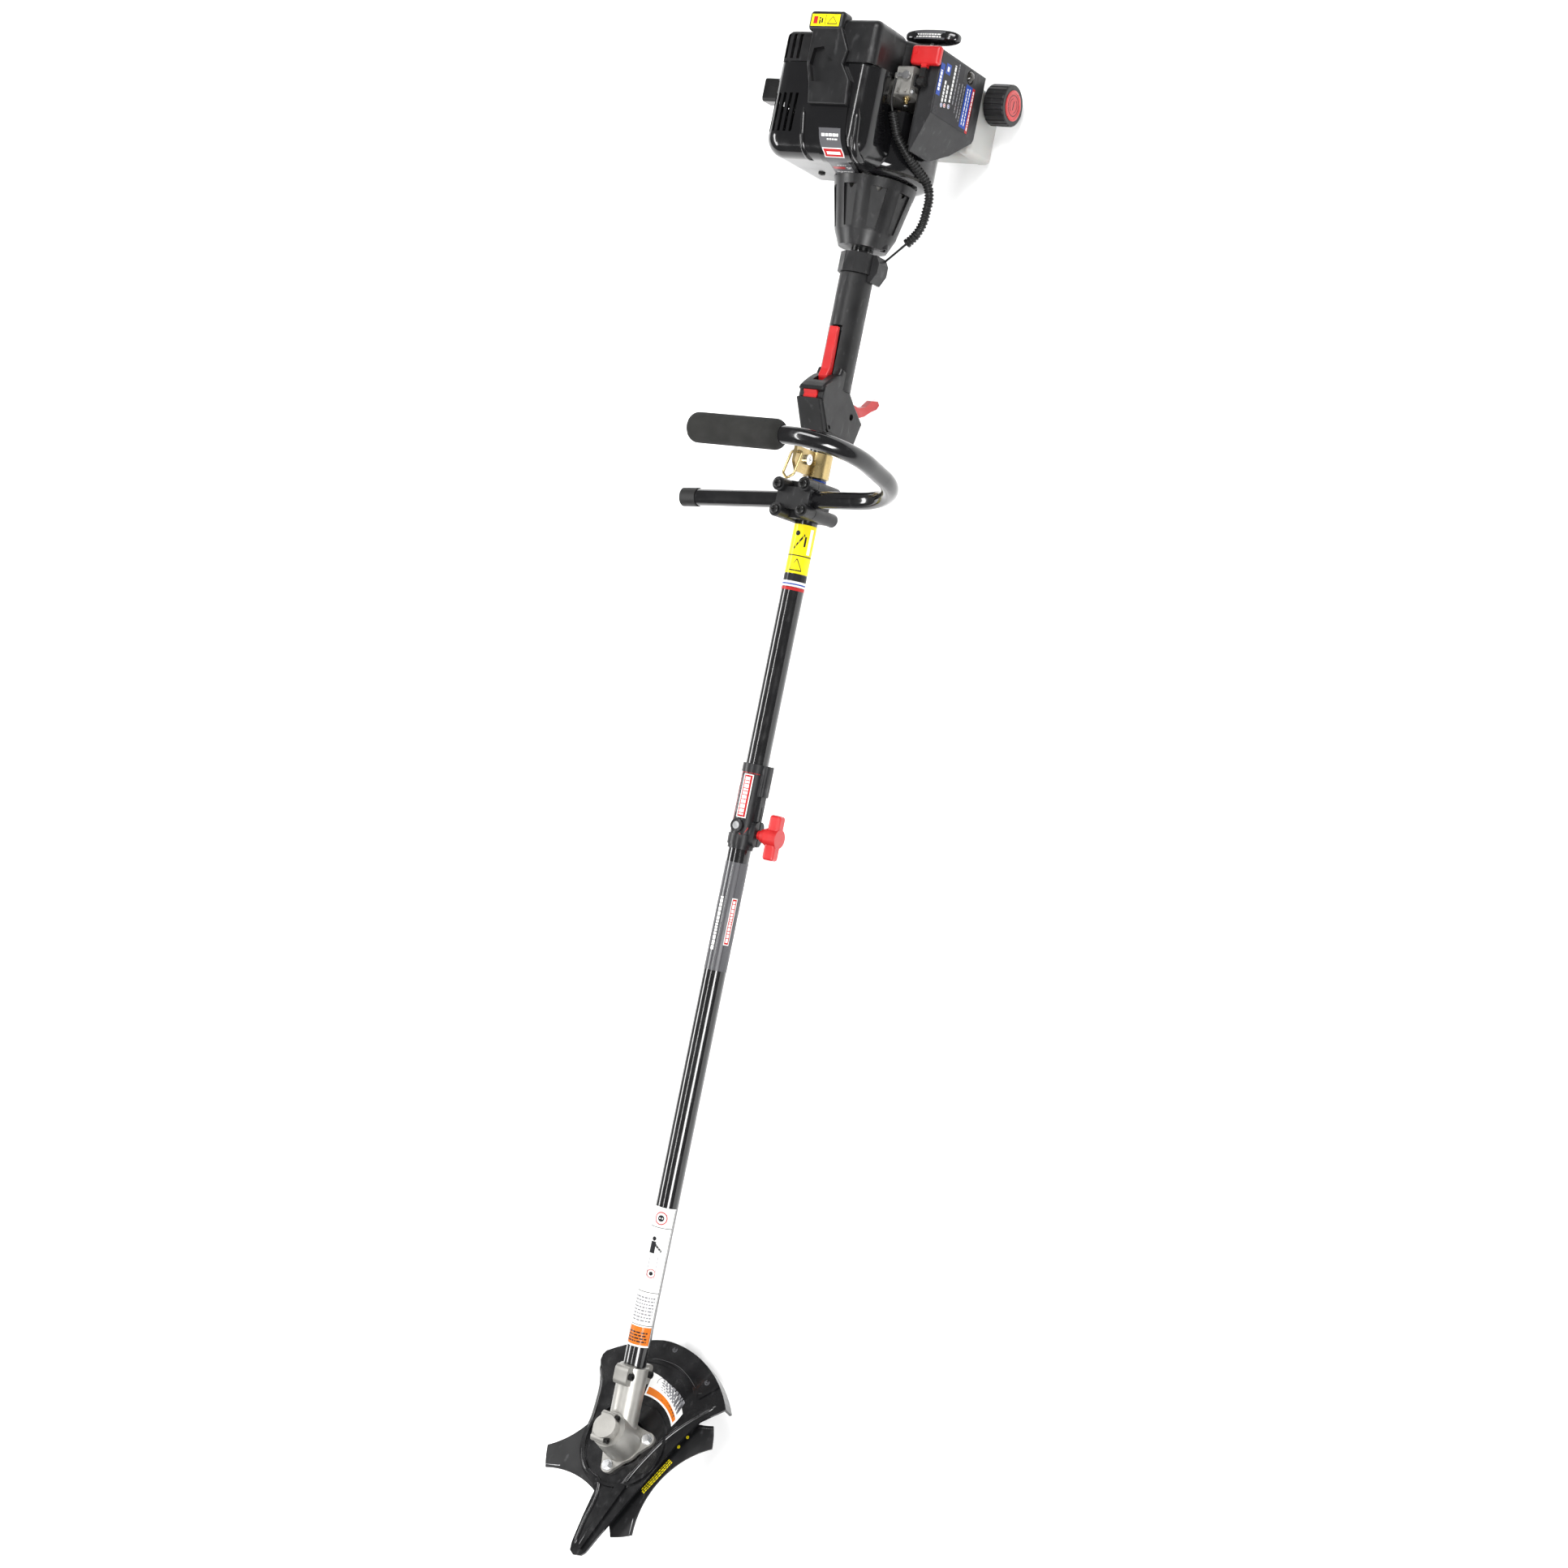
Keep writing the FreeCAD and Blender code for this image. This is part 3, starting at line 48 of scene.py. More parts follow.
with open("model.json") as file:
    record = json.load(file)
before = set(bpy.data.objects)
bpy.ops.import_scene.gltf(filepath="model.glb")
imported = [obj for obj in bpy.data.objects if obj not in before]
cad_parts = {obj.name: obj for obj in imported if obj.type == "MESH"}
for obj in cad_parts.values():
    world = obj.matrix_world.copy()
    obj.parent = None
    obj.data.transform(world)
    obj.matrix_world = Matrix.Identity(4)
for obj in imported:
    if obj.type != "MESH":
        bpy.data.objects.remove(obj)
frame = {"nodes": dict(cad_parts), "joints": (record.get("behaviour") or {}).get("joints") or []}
cad_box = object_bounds()
random.seed(7)
MM = 0.001
NODES = frame["nodes"]
JOINTS = {j["name"]: j for j in frame["joints"]}
CROSS = Vector(JOINTS["blade_spin"]["pos_m"])
HEAD_N = Vector(JOINTS["blade_spin"]["axis"]).normalized()
HEAD_F = Vector((HEAD_N.z, 0.0, -HEAD_N.x))
SIDE = Vector((0.0, 1.0, 0.0))
BLADE_DROP = 24.0
BOOM_R = 12.7
LABEL_ANGLE = 78.0


def left_face(node):
    """Leftmost side of a CAD node, in boom millimetres."""
    return (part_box(node)[1][1] - CROSS.y) / MM


def top_face(node):
    """Highest side of a CAD node, in boom millimetres."""
    return (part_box(node)[1][2] - CROSS.z) / MM


def front_face(node):
    """Station of a CAD node's forward side."""
    return (CROSS.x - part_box(node)[1][0]) / MM


def at(station, left=0.0, up=0.0):
    """Point at a station along the boom, in millimetres behind the spindle crossing."""
    return CROSS + Vector((-station, left, up)) * MM


def head(ahead, left, high):
    """Point in blade axes, in millimetres from the blade centre."""
    return CROSS + (HEAD_F * ahead + SIDE * left + HEAD_N * (high - BLADE_DROP)) * MM


# ---------------------------------------------------------------- materials

def node_tree(name):
    """New node material: the material, its tree and its main shader."""
    mat = bpy.data.materials.new(name)
    mat.use_nodes = True
    tree = mat.node_tree
    return mat, tree, tree.nodes["Principled BSDF"]


def noise(tree, coords, scale, detail=4.0, stretch=(1.0, 1.0, 1.0)):
    """Noise in object space, in metres, optionally stretched along an axis."""
    mapping = tree.nodes.new("ShaderNodeMapping")
    mapping.inputs["Scale"].default_value = stretch
    tree.links.new(coords.outputs["Object"], mapping.inputs["Vector"])
    node = tree.nodes.new("ShaderNodeTexNoise")
    node.inputs["Scale"].default_value = scale
    node.inputs["Detail"].default_value = detail
    tree.links.new(mapping.outputs["Vector"], node.inputs["Vector"])
    return node.outputs["Fac"]


def spread(tree, value, low, high, start=0.3, end=0.7):
    """Map a value from start..end to low..high, clamped."""
    node = tree.nodes.new("ShaderNodeMapRange")
    node.inputs["From Min"].default_value = start
    node.inputs["From Max"].default_value = end
    node.inputs["To Min"].default_value = low
    node.inputs["To Max"].default_value = high
    tree.links.new(value, node.inputs["Value"])
    return node.outputs["Result"]


def mix(tree, factor, first, second):
    """Colour between two, each a tuple or a socket."""
    node = tree.nodes.new("ShaderNodeMix")
    node.data_type = "RGBA"
    tree.links.new(factor, node.inputs[0])
    for socket, value in ((node.inputs[6], first), (node.inputs[7], second)):
        if isinstance(value, tuple):
            socket.default_value = (*value, 1.0)
        else:
            tree.links.new(value, socket)
    return node.outputs[2]


def surface(name, color, rough, metal=0.0, coat=0.0, grain=900.0, bump=0.12, depth=0.15, mottle=0.12,
            wear=0.0, wear_color=(0.35, 0.35, 0.36), stretch=(1.0, 1.0, 1.0), clear=0.0, soft=0.0):
    """Procedural finish: mottled colour, uneven sheen, fine grain and a little wear."""
    mat, tree, shader = node_tree(name)
    coords = tree.nodes.new("ShaderNodeTexCoord")
    dark = tuple(c * (1.0 - mottle) for c in color)
    light = tuple(min(1.0, c * (1.0 + mottle)) for c in color)
    tone = mix(tree, spread(tree, noise(tree, coords, 28.0, 6.0), 0.0, 1.0), dark, light)
    if wear:
        scuffs = spread(tree, noise(tree, coords, 160.0, 12.0, (0.35, 1.0, 1.0)), 0.0, wear, 0.6, 0.72)
        tone = mix(tree, scuffs, tone, wear_color)
    tree.links.new(tone, shader.inputs["Base Color"])
    sheen = spread(tree, noise(tree, coords, 60.0, 8.0), max(0.03, rough - 0.07), min(1.0, rough + 0.08))
    tree.links.new(sheen, shader.inputs["Roughness"])
    shader.inputs["Metallic"].default_value = metal
    shader.inputs["Specular IOR Level"].default_value = 0.3 if max(color) < 0.05 else 0.5
    shader.inputs["Coat Weight"].default_value = coat
    shader.inputs["Coat Roughness"].default_value = 0.06
    shader.inputs["Transmission Weight"].default_value = clear
    shader.inputs["Subsurface Weight"].default_value = soft
    shader.inputs["Subsurface Scale"].default_value = 0.004
    bumps = tree.nodes.new("ShaderNodeBump")
    bumps.inputs["Strength"].default_value = bump
    bumps.inputs["Distance"].default_value = depth * MM
    tree.links.new(noise(tree, coords, grain, 3.0, stretch), bumps.inputs["Height"])
    tree.links.new(bumps.outputs["Normal"], shader.inputs["Normal"])
    return mat


def make_materials():
    """Every finish and ink, by the short names that the dressing functions use."""
    black = (0.004, 0.004, 0.0045)
    lib = {
        "satin": surface("satin_black_plastic", (0.0075, 0.0075, 0.008), 0.40, grain=1500, bump=0.25,
                         wear=0.06),
        "engine": surface("engine_black_plastic", (0.0065, 0.0065, 0.007), 0.36, grain=1300, bump=0.25,
                          wear=0.05),
        "gloss": surface("gloss_black_plastic", black, 0.15, coat=0.3, grain=220, bump=0.03),
        "guard": surface("guard_black_plastic", black, 0.22, coat=0.35, grain=300, bump=0.05, wear=0.04),
        "boom": surface("boom_powder_coat", black, 0.19, coat=0.6, grain=700, bump=0.05, wear=0.03),
        "handle": surface("handle_powder_coat", black, 0.17, coat=0.6, grain=800, bump=0.05, wear=0.03),
        "coupler": surface("coupler_powder_coat", (0.008, 0.008, 0.009), 0.33, grain=900, bump=0.15,
                           wear=0.1),
        "blade": surface("blade_black_paint", (0.0055, 0.0055, 0.006), 0.36, grain=700, bump=0.1, wear=0.12,
                         wear_color=(0.18, 0.18, 0.19)),
        "cast": surface("cast_aluminium", (0.30, 0.293, 0.275), 0.42, metal=0.75, grain=650, bump=0.35,
                        depth=0.3, mottle=0.16, wear=0.25, wear_color=(0.32, 0.31, 0.30)),
        "steel": surface("bright_steel", (0.56, 0.56, 0.57), 0.28, metal=1.0, grain=900, bump=0.08,
                         stretch=(0.1, 1.0, 1.0), wear=0.1),
        "zinc": surface("zinc_steel", (0.66, 0.67, 0.68), 0.25, metal=1.0, grain=500, bump=0.1, mottle=0.15),
        "gold": surface("yellow_zinc", (0.42, 0.32, 0.15), 0.28, metal=1.0, grain=350, bump=0.08, mottle=0.3,
                        wear=0.2, wear_color=(0.62, 0.60, 0.52)),
        "dark_steel": surface("dark_steel", (0.012, 0.012, 0.012), 0.28, metal=0.3, grain=500, bump=0.2,
                              mottle=0.3),
        "screw": surface("black_screw", (0.02, 0.02, 0.02), 0.33, metal=0.6, grain=800, bump=0.1),
        "red": surface("red_plastic", (0.40, 0.008, 0.009), 0.34, coat=0.15, grain=1100, bump=0.12,
                       soft=0.05),
        "rubber": surface("black_rubber", (0.010, 0.010, 0.010), 0.5, grain=900, bump=0.3, mottle=0.2),
        "foam": surface("grip_foam", (0.013, 0.013, 0.012), 0.9, grain=1900, bump=0.9, depth=0.6,
                        mottle=0.35),
        "cable": surface("cable_jacket", (0.006, 0.006, 0.006), 0.4, grain=900, bump=0.1),
        "grey": surface("dark_grey_plastic", (0.012, 0.012, 0.013), 0.42, grain=1500, bump=0.3, wear=0.06),
        "nylon": surface("nylon", (0.70, 0.69, 0.64), 0.45, soft=0.2),
        "tank": surface("tank_white", (0.36, 0.36, 0.345), 0.34, grain=250, bump=0.08, soft=0.15,
                        mottle=0.05),
        "primer": surface("primer_rubber", (0.02, 0.018, 0.014), 0.2, coat=0.4, clear=0.4),
        "rope": surface("rope", (0.72, 0.72, 0.68), 0.8, grain=900, bump=0.8, depth=0.4),
        "ceramic": surface("ceramic", (0.85, 0.84, 0.80), 0.15, coat=0.4),
        "edge": surface("ground_edge", (0.62, 0.62, 0.63), 0.3, metal=1.0, grain=1600, bump=0.2,
                        stretch=(1.0, 0.1, 0.1)),
    }
    inks = {"ink_white": (0.62, 0.62, 0.61), "ink_yellow": (0.62, 0.52, 0.01),
            "ink_red": (0.34, 0.016, 0.018), "ink_blue": (0.012, 0.045, 0.25),
            "ink_orange": (0.48, 0.12, 0.010), "ink_grey": (0.16, 0.16, 0.17),
            "ink_dark": (0.012, 0.012, 0.014), "ink_mid": (0.07, 0.07, 0.075)}
    for name, color in inks.items():
        lib[name] = surface(name, color, 0.32, coat=0.08, grain=400, bump=0.03, mottle=0.05, wear=0.05,
                            wear_color=tuple(c * 0.8 for c in color))
        shader = lib[name].node_tree.nodes["Principled BSDF"]
        shader.inputs["Specular IOR Level"].default_value = 0.12
    lib["bracket"] = two_zone("bracket_screws", lib["zinc"], "X", -0.347, -0.343)
    lib["choke"] = two_zone("choke_plastic", lib["red"], "X", -0.7915, -0.7895)
    return lib


def two_zone(name, base, axis, plain, black):
    """Copy of a finish that turns to dark steel between two positions on one axis, in metres."""
    mat = base.copy()
    mat.name = name
    tree = mat.node_tree
    shader = tree.nodes["Principled BSDF"]
    coords = next(n for n in tree.nodes if n.type == "TEX_COORD")
    split = tree.nodes.new("ShaderNodeSeparateXYZ")
    tree.links.new(coords.outputs["Object"], split.inputs["Vector"])
    part = spread(tree, split.outputs[axis], 0.0, 1.0, plain, black)
    bright = shader.inputs["Base Color"].links[0].from_socket
    tree.links.new(mix(tree, part, bright, (0.008, 0.008, 0.008)), shader.inputs["Base Color"])
    metal = shader.inputs["Metallic"].default_value
    tree.links.new(spread(tree, part, metal, 0.2, 0.0, 1.0), shader.inputs["Metallic"])
    return mat


MATS = make_materials()
NODE_FINISH = {
    "blade": "blade", "guard": "guard", "coupler_knob": "red", "throttle_trigger": "red",
    "lockout_lever": "red", "stop_switch": "red", "choke_lever": "choke", "coupler": "coupler",
    "j_handle_tube": "handle", "engine_shroud": "gloss", "air_cleaner_cover": "grey", "fuel_tank": "tank",
    "primer_bulb": "primer", "muffler": "dark_steel", "starter_rope": "rope", "spark_plug": "ceramic",
    "throttle_cable": "cable", "cable_conduit": "cable", "handle_end_cap": "rubber", "foam_grip": "foam",
    "starter_grip": "rubber", "fuel_cap": "satin", "handle_clamp_top": "satin",
    "handle_clamp_base": "satin", "starter_pulley": "nylon", "shaft_bushings": "nylon",
    "grip_screws": "screw", "gearbox_screws": "screw", "bracket_screws": "bracket",
    "release_button": "zinc", "guard_bolts": "zinc", "blade_nut": "zinc", "lower_boom_tube": "boom",
    "upper_boom_tube": "boom"}
FAMILY_FINISH = [
    (("gearbox_left_half", "gearbox_right_half", "crankcase", "cylinder", "flywheel", "clutch_drum",
      "carburetor"), "cast"),
    (("harness_clamp", "harness_loop"), "gold"),
    (("grip_left_shell", "grip_right_shell", "grip_collar"), "satin"),
    (("clutch_cover", "top_cover", "air_box", "starter_housing"), "engine"),
]


def dress_nodes():
    """Give each CAD node its finish; bright steel is the default."""
    finishes = dict(NODE_FINISH)
    for names, finish in FAMILY_FINISH:
        finishes.update({name: finish for name in names})
    for name, obj in NODES.items():
        obj.data.materials.clear()
        obj.data.materials.append(MATS[finishes.get(name, "steel")])


# ---------------------------------------------------------------- mesh helpers

def new_piece(name, bm, materials, body, smooth=None):
    """Object from a bmesh that rides on a body; smooth is its sharp angle in degrees."""
    bmesh.ops.recalc_face_normals(bm, faces=bm.faces)
    mesh = bpy.data.meshes.new(name)
    bm.to_mesh(mesh)
    bm.free()
    obj = bpy.data.objects.new(name, mesh)
    bpy.context.scene.collection.objects.link(obj)
    for key in materials:
        mesh.materials.append(MATS[key])
    if smooth is not None:
        mesh.shade_smooth()
        mesh.set_sharp_from_angle(angle=math.radians(smooth))
    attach(obj, body)
    return obj


def add_slab(bm, place, shape, low, high, nu=1, nv=1, index=0):
    """Closed thin slab: shape(u, v) gives label coordinates, place(x, y, h) puts them in space."""
    layers = []
    for height in (low, high):
        rows = [[bm.verts.new(place(*shape(i / nu, j / nv), height)) for j in range(nv + 1)]
                for i in range(nu + 1)]
        layers.append(rows)
    below, above = layers
    faces = []
    for i in range(nu):
        for j in range(nv):
            faces.append((above[i][j], above[i + 1][j], above[i + 1][j + 1], above[i][j + 1]))
            faces.append((below[i][j], below[i][j + 1], below[i + 1][j + 1], below[i + 1][j]))
    for i in range(nu):
        for j in (0, nv):
            faces.append((below[i][j], below[i + 1][j], above[i + 1][j], above[i][j]))
    for j in range(nv):
        for i in (0, nu):
            faces.append((below[i][j], below[i][j + 1], above[i][j + 1], above[i][j]))
    for corners in faces:
        bm.faces.new(corners).material_index = index


def bar(x0, x1, y0, y1):
    """Rectangle shape for add_slab."""
    return lambda u, v: (x0 + (x1 - x0) * u, y0 + (y1 - y0) * v)


def ring(cx, cy, outer, inner, first=0.0, last=360.0):
    """Ring or arc shape for add_slab, in degrees."""
    def shape(u, v):
        angle = math.radians(first + (last - first) * v)
        radius = inner + (outer - inner) * u
        return cx + radius * math.cos(angle), cy + radius * math.sin(angle)
    return shape


def patch(ink, x0, x1, y0, y1, level=0, nu=1, nv=1):
    """Rectangle of ink, as a layer for decal."""
    return ink, bar(x0, x1, y0, y1), nu, nv, level


def quad(a, b, c, d):
    """Four-cornered shape for add_slab."""
    def shape(u, v):
        low = (a[0] + (b[0] - a[0]) * u, a[1] + (b[1] - a[1]) * u)
        high = (d[0] + (c[0] - d[0]) * u, d[1] + (c[1] - d[1]) * u)
        return low[0] + (high[0] - low[0]) * v, low[1] + (high[1] - low[1]) * v
    return shape


def on_boom(radius, middle):
    """Label coordinates on the boom: x is the station, y runs round it from the middle angle."""
    def place(x, y, h):
        angle = math.radians(middle) - y / radius
        reach = radius + h
        return at(x, reach * math.cos(angle), reach * math.sin(angle))
    return place


def on_plane(origin, along, across):
    """Label coordinates on a flat face; heights stand out of it."""
    normal = along.cross(across).normalized()

    def place(x, y, h):
        return origin + (along * x + across * y + normal * h) * MM
    return place


def decal(name, place, layers, body="frame", lift=0.06):
    """Printed label: each layer is (ink, shape, cells along, cells across), stacked by level."""
    bm = bmesh.new()
    inks = []
    for ink, shape, nu, nv, level in layers:
        if ink not in inks:
            inks.append(ink)
        add_slab(bm, place, shape, -0.12, lift * (level + 1), nu, nv, inks.index(ink))
    return new_piece(name, bm, inks, body)


def text_rows(ink, x0, x1, y0, y1, rows, level=1, gap=0.45, turn=False):
    """Lines of small blocks that stand for generic print."""
    layers = []
    pitch = (y1 - y0) / rows
    for row in range(rows):
        x = x0
        while x < x1 - 0.8:
            length = min(random.uniform(1.6, 4.8), x1 - x)
            low, high = y0 + pitch * row, y0 + pitch * (row + 1 - gap)
            shape = bar(low, high, x, x + length) if turn else bar(x, x + length, low, high)
            layers.append((ink, shape, 1, 2, level))
            x += length + 0.9
    return layers


def turned(name, profile, origin, direction, materials, body, steps=48, smooth=35):
    """Round piece from (radius, height) points in millimetres; a zero radius closes an end."""
    bm = bmesh.new()
    turn = direction.to_track_quat("Z", "Y").to_matrix()
    rings = []
    for radius, height in profile:
        if radius <= 0:
            rings.append([bm.verts.new(origin + turn @ Vector((0, 0, height * MM)))])
            continue
        loop = []
        for k in range(steps):
            a = 2 * math.pi * k / steps
            loop.append(bm.verts.new(origin + turn @ (Vector((radius * math.cos(a), radius * math.sin(a),
                                                              height)) * MM)))
        rings.append(loop)
    for first, second in zip(rings, rings[1:]):
        for k in range(steps):
            n = (k + 1) % steps
            corners = []
            for vert in (first[k % len(first)], first[n % len(first)], second[n % len(second)],
                         second[k % len(second)]):
                if vert not in corners:
                    corners.append(vert)
            bm.faces.new(corners)
    return new_piece(name, bm, materials, body, smooth)


def arc_route(points, bends, step=2.0):
    """Straight runs joined by arcs, sampled every few millimetres."""
    route = [points[0]]
    for i in range(1, len(points) - 1):
        corner = points[i]
        back = (points[i - 1] - corner).normalized()
        ahead = (points[i + 1] - corner).normalized()
        half = back.angle(ahead) / 2
        radius = bends[i - 1] * MM
        reach = radius / math.tan(half)
        start, end = corner + back * reach, corner + ahead * reach
        centre = corner + (back + ahead).normalized() * (radius / math.sin(half))
        count = max(3, int(radius * (math.pi - 2 * half) / (step * MM)))
        spoke = start - centre
        axis = spoke.cross(end - centre).normalized()
        for k in range(count + 1):
            turn = Matrix.Rotation(spoke.angle(end - centre) * k / count, 3, axis)
            route.append(centre + turn @ spoke)
    route.append(points[-1])
    dense = [route[0]]
    for a, b in zip(route, route[1:]):
        parts = max(1, round((b - a).length / (step * MM)))
        dense += [a.lerp(b, k / parts) for k in range(1, parts + 1)]
    return dense


def swept(name, route, radius_at, materials, body, steps=20, smooth=40):
    """Tube along a route whose radius in millimetres depends on the length so far."""
    bm = bmesh.new()
    rings = []
    side = None
    run = 0.0
    for i, point in enumerate(route):
        ahead = (route[min(i + 1, len(route) - 1)] - route[max(i - 1, 0)]).normalized()
        if side is None:
            side = ahead.orthogonal().normalized()
        side = (side - ahead * side.dot(ahead)).normalized()
        up = ahead.cross(side)
        if i:
            run += (point - route[i - 1]).length / MM
        r = radius_at(run) * MM
        rings.append([bm.verts.new(point + (side * math.cos(a) + up * math.sin(a)) * r)
                      for a in (2 * math.pi * k / steps for k in range(steps))])
    for first, second in zip(rings, rings[1:]):
        for k in range(steps):
            n = (k + 1) % steps
            bm.faces.new((first[k], first[n], second[n], second[k]))
    bm.faces.new(rings[0])
    bm.faces.new(rings[-1])
    return new_piece(name, bm, materials, body, smooth)


# ---------------------------------------------------------------- cutting head

BLADE_TOP = 0.9
GUARD_TOP = 12.0
BAND_INNER, BAND_OUTER = 57.0, 84.0
BAND_START, BAND_SWEEP = 137.0, 47.0
BAND_NARROWING = 11.0
BAND_SLANT = 10.0


def dress_blade():
    """Bright ground edge on each tooth, a printed line and two printed rings on one tooth."""
    first_tooth = math.radians(24.0)
    edge = quad((99.0, 9.8), (101.0, 9.6), (84.0, 13.2), (82.0, 12.8))
    for k in range(4):
        a = first_tooth + k * math.pi / 2
        out = HEAD_F * math.cos(a) + SIDE * math.sin(a)
        place = on_plane(head(0, 0, 0) + HEAD_N * BLADE_TOP * MM, out, HEAD_N.cross(out))
        decal(f"tooth_edge_{k}", place, [("edge", edge, 4, 1, 0)], body="cutter",
              lift=0.05)
    along = (HEAD_F * 41.3 - SIDE * 15.6).normalized()
    place = on_plane(head(19.5, 47.9, BLADE_TOP), along, HEAD_N.cross(along))
    layers = text_rows("ink_yellow", -23, 22, -2.0, 5.0, 3, 0, 0.45)
    for spot in (-39.5, -53.5):
        layers.append(("ink_yellow", ring(spot, -3.6, 1.9, 0.5), 1, 10, 0))
    decal("blade_print", place, layers, body="cutter", lift=0.05)


def guard_band(inner, outer, first=0.0, last=1.0):
    """Band round the blade centre that narrows and slants off towards its front end."""
    def shape(u, v):
        part = first + (last - first) * v
        share = (outer - BAND_INNER) / (BAND_OUTER - BAND_INNER)
        reach = outer - BAND_NARROWING * (1.0 - part) * share
        radius = inner + (reach - inner) * u
        slant = BAND_SLANT * (1.0 - (radius - BAND_INNER) / 20.0) * (1.0 - part)
        angle = math.radians(BAND_START + BAND_SWEEP * part - slant)
        return radius * math.cos(angle), radius * math.sin(angle)
    return shape


def band_print(ink, inner, pitch, height, rows, span, widths, gap, level):
    """Curved lines of small blocks that stand for generic print."""
    layers = []
    for row in range(rows):
        low = inner + pitch * row
        part = span[0]
        while part < span[1]:
            width = random.uniform(*widths)
            layers.append((ink, guard_band(low, low + height, part, part + width), 1, 2, level))
            part += width + gap
    return layers


def guard_fold(name, points, radius):
    """Rounded raised fold along a smooth line on top of the guard."""
    knots = [head(f, y, GUARD_TOP - 0.35 * radius) for f, y in points]
    route = []
    ends = [knots[0] * 2 - knots[1]] + knots + [knots[-1] * 2 - knots[-2]]
    for k in range(1, len(ends) - 2):
        p0, p1, p2, p3 = ends[k - 1:k + 3]
        for j in range(10):
            t = j / 10
            route.append(0.5 * (2 * p1 + (p2 - p0) * t + (2 * p0 - 5 * p1 + 4 * p2 - p3) * t * t
                                + (3 * p1 - p0 - 3 * p2 + p3) * t * t * t))
    route.append(knots[-1])
    total = sum((b - a).length for a, b in zip(route, route[1:])) / MM

    def size(run):
        edge = max(0.0, min(run, total - run))
        return radius * min(1.0, 0.3 + edge / (3.0 * radius))
    swept(name, route, size, ["guard"], "frame", 18, 60)


def dress_guard():
    """Curved warning label, two moulded marks and the folds on the guard."""
    place = on_plane(head(0, 0, GUARD_TOP), HEAD_F, SIDE)
    layers = [("ink_white", guard_band(BAND_INNER, BAND_OUTER), 2, 20, 0),
              ("ink_orange", guard_band(59, 67.5, 0.05, 0.97), 1, 20, 1)]
    layers += band_print("ink_grey", 70.0, 2.5, 1.2, 5, (0.10, 0.72), (0.03, 0.08), 0.025, 1)
    layers += band_print("ink_dark", 61.0, 2.6, 1.4, 2, (0.12, 0.55), (0.03, 0.07), 0.03, 2)
    layers.append(("ink_grey", ring(-76, 9, 5.0, 4.3, 60, 300), 1, 16, 1))
    decal("guard_label", place, layers)
    for k, (f, y) in enumerate(((-92.6, 62.7), (-115.2, 6.6))):
        mark = [("ink_mid", ring(f, y, 3.0, 1.8, 200, 500), 1, 14, 0),
                patch("ink_mid", f - 0.6, f + 0.6, y - 3.5, y + 1.0)]
        decal(f"guard_mark_{k}", place, mark, lift=0.2)
    guard_fold("fold_right", [(-72, 86), (-50.4, 66.3), (-27.9, 49.5), (-3.5, 37.2), (28.4, 25.4),
                              (66.4, 16.6), (122, 5)], 3.4)
    guard_fold("fold_left", [(-73.7, -74.0), (-56, -63), (-35, -56.5), (-6.3, -50.6), (8.6, -48.5),
                             (23.8, -43.5), (37.1, -34), (43.5, -21), (48, -8), (66, -2.2), (91, -2.6),
                             (120, -1)], 2.6)
    guard_fold("fold_rear", [(-96.3, -16.8), (-98.8, -2.9), (-98, 19.2), (-90.6, 38.2), (-81.5, 51.6),
                             (-77.4, 57.4), (-80.7, 66.9), (-91.5, 77)], 1.8)


# ---------------------------------------------------------------- boom labels

def dress_lower_boom():
    """Warning label near the head, a grey band, and a boxed mark with a printed line."""
    place = on_boom(BOOM_R, LABEL_ANGLE)
    half = 17.5
    layers = [patch("ink_white", 105, 259, -half, half, 0, 4, 16),
              patch("ink_orange", 107, 127, -half + 1, half - 1, 1, 1, 14)]
    layers += [patch("ink_dark", t, t + 0.7, -half + 0.8, half - 0.8, 2, 1, 14) for t in (128.5, 165, 236.5)]
    layers += [patch("ink_dark", 106.2, 258, y, y + 0.5, 2) for y in (-half + 0.8, half - 1.3)]
    layers += text_rows("ink_grey", -14, 13, 133, 162, 8, 1, 0.55, turn=True)
    layers += text_rows("ink_dark", -13, 12, 110, 123, 4, 2, 0.5, turn=True)
    layers += [("ink_red", ring(247, 1, 7.2, 6.0), 1, 28, 2), ("ink_dark", ring(247, 1, 3.6, 0.2), 1, 16, 1),
               ("ink_red", quad((241.8, -4.6), (242.8, -5.4), (252.2, 6.4), (251.2, 7.2)), 4, 1, 2)]
    layers += [("ink_dark", ring(224, -2, 2.4, 0.1), 1, 14, 1), patch("ink_dark", 208, 221, -5, 1, 1, 1, 3),
               ("ink_dark", quad((216, 1), (219, 1), (212, 9), (210, 8)), 1, 3, 1),
               patch("ink_grey", 180, 206, -3.2, -2.6, 1), patch("ink_grey", 180, 206, 6, 6.6, 1),
               ("ink_red", ring(186, 2, 5.0, 4.2), 1, 24, 2), ("ink_dark", ring(186, 2, 2.2, 0.1), 1, 12, 1)]
    decal("lower_boom_label", place, layers)
    decal("lower_boom_band", on_boom(BOOM_R, 57.0), [patch("ink_mid", 523, 643, -24, 24, 0, 3, 18)])
    layers = [patch("ink_white", 552, 604, 7.5, 14, 1, 2, 3), patch("ink_red", 553, 603, 8.3, 13.2, 2, 2, 3)]
    layers += text_rows("ink_white", 555, 601, 9.2, 12.3, 1, 3, 0.1)
    layers += text_rows("ink_white", 545, 604, -6.5, -1.5, 1, 1, 0.2)
    decal("lower_boom_print", place, layers)


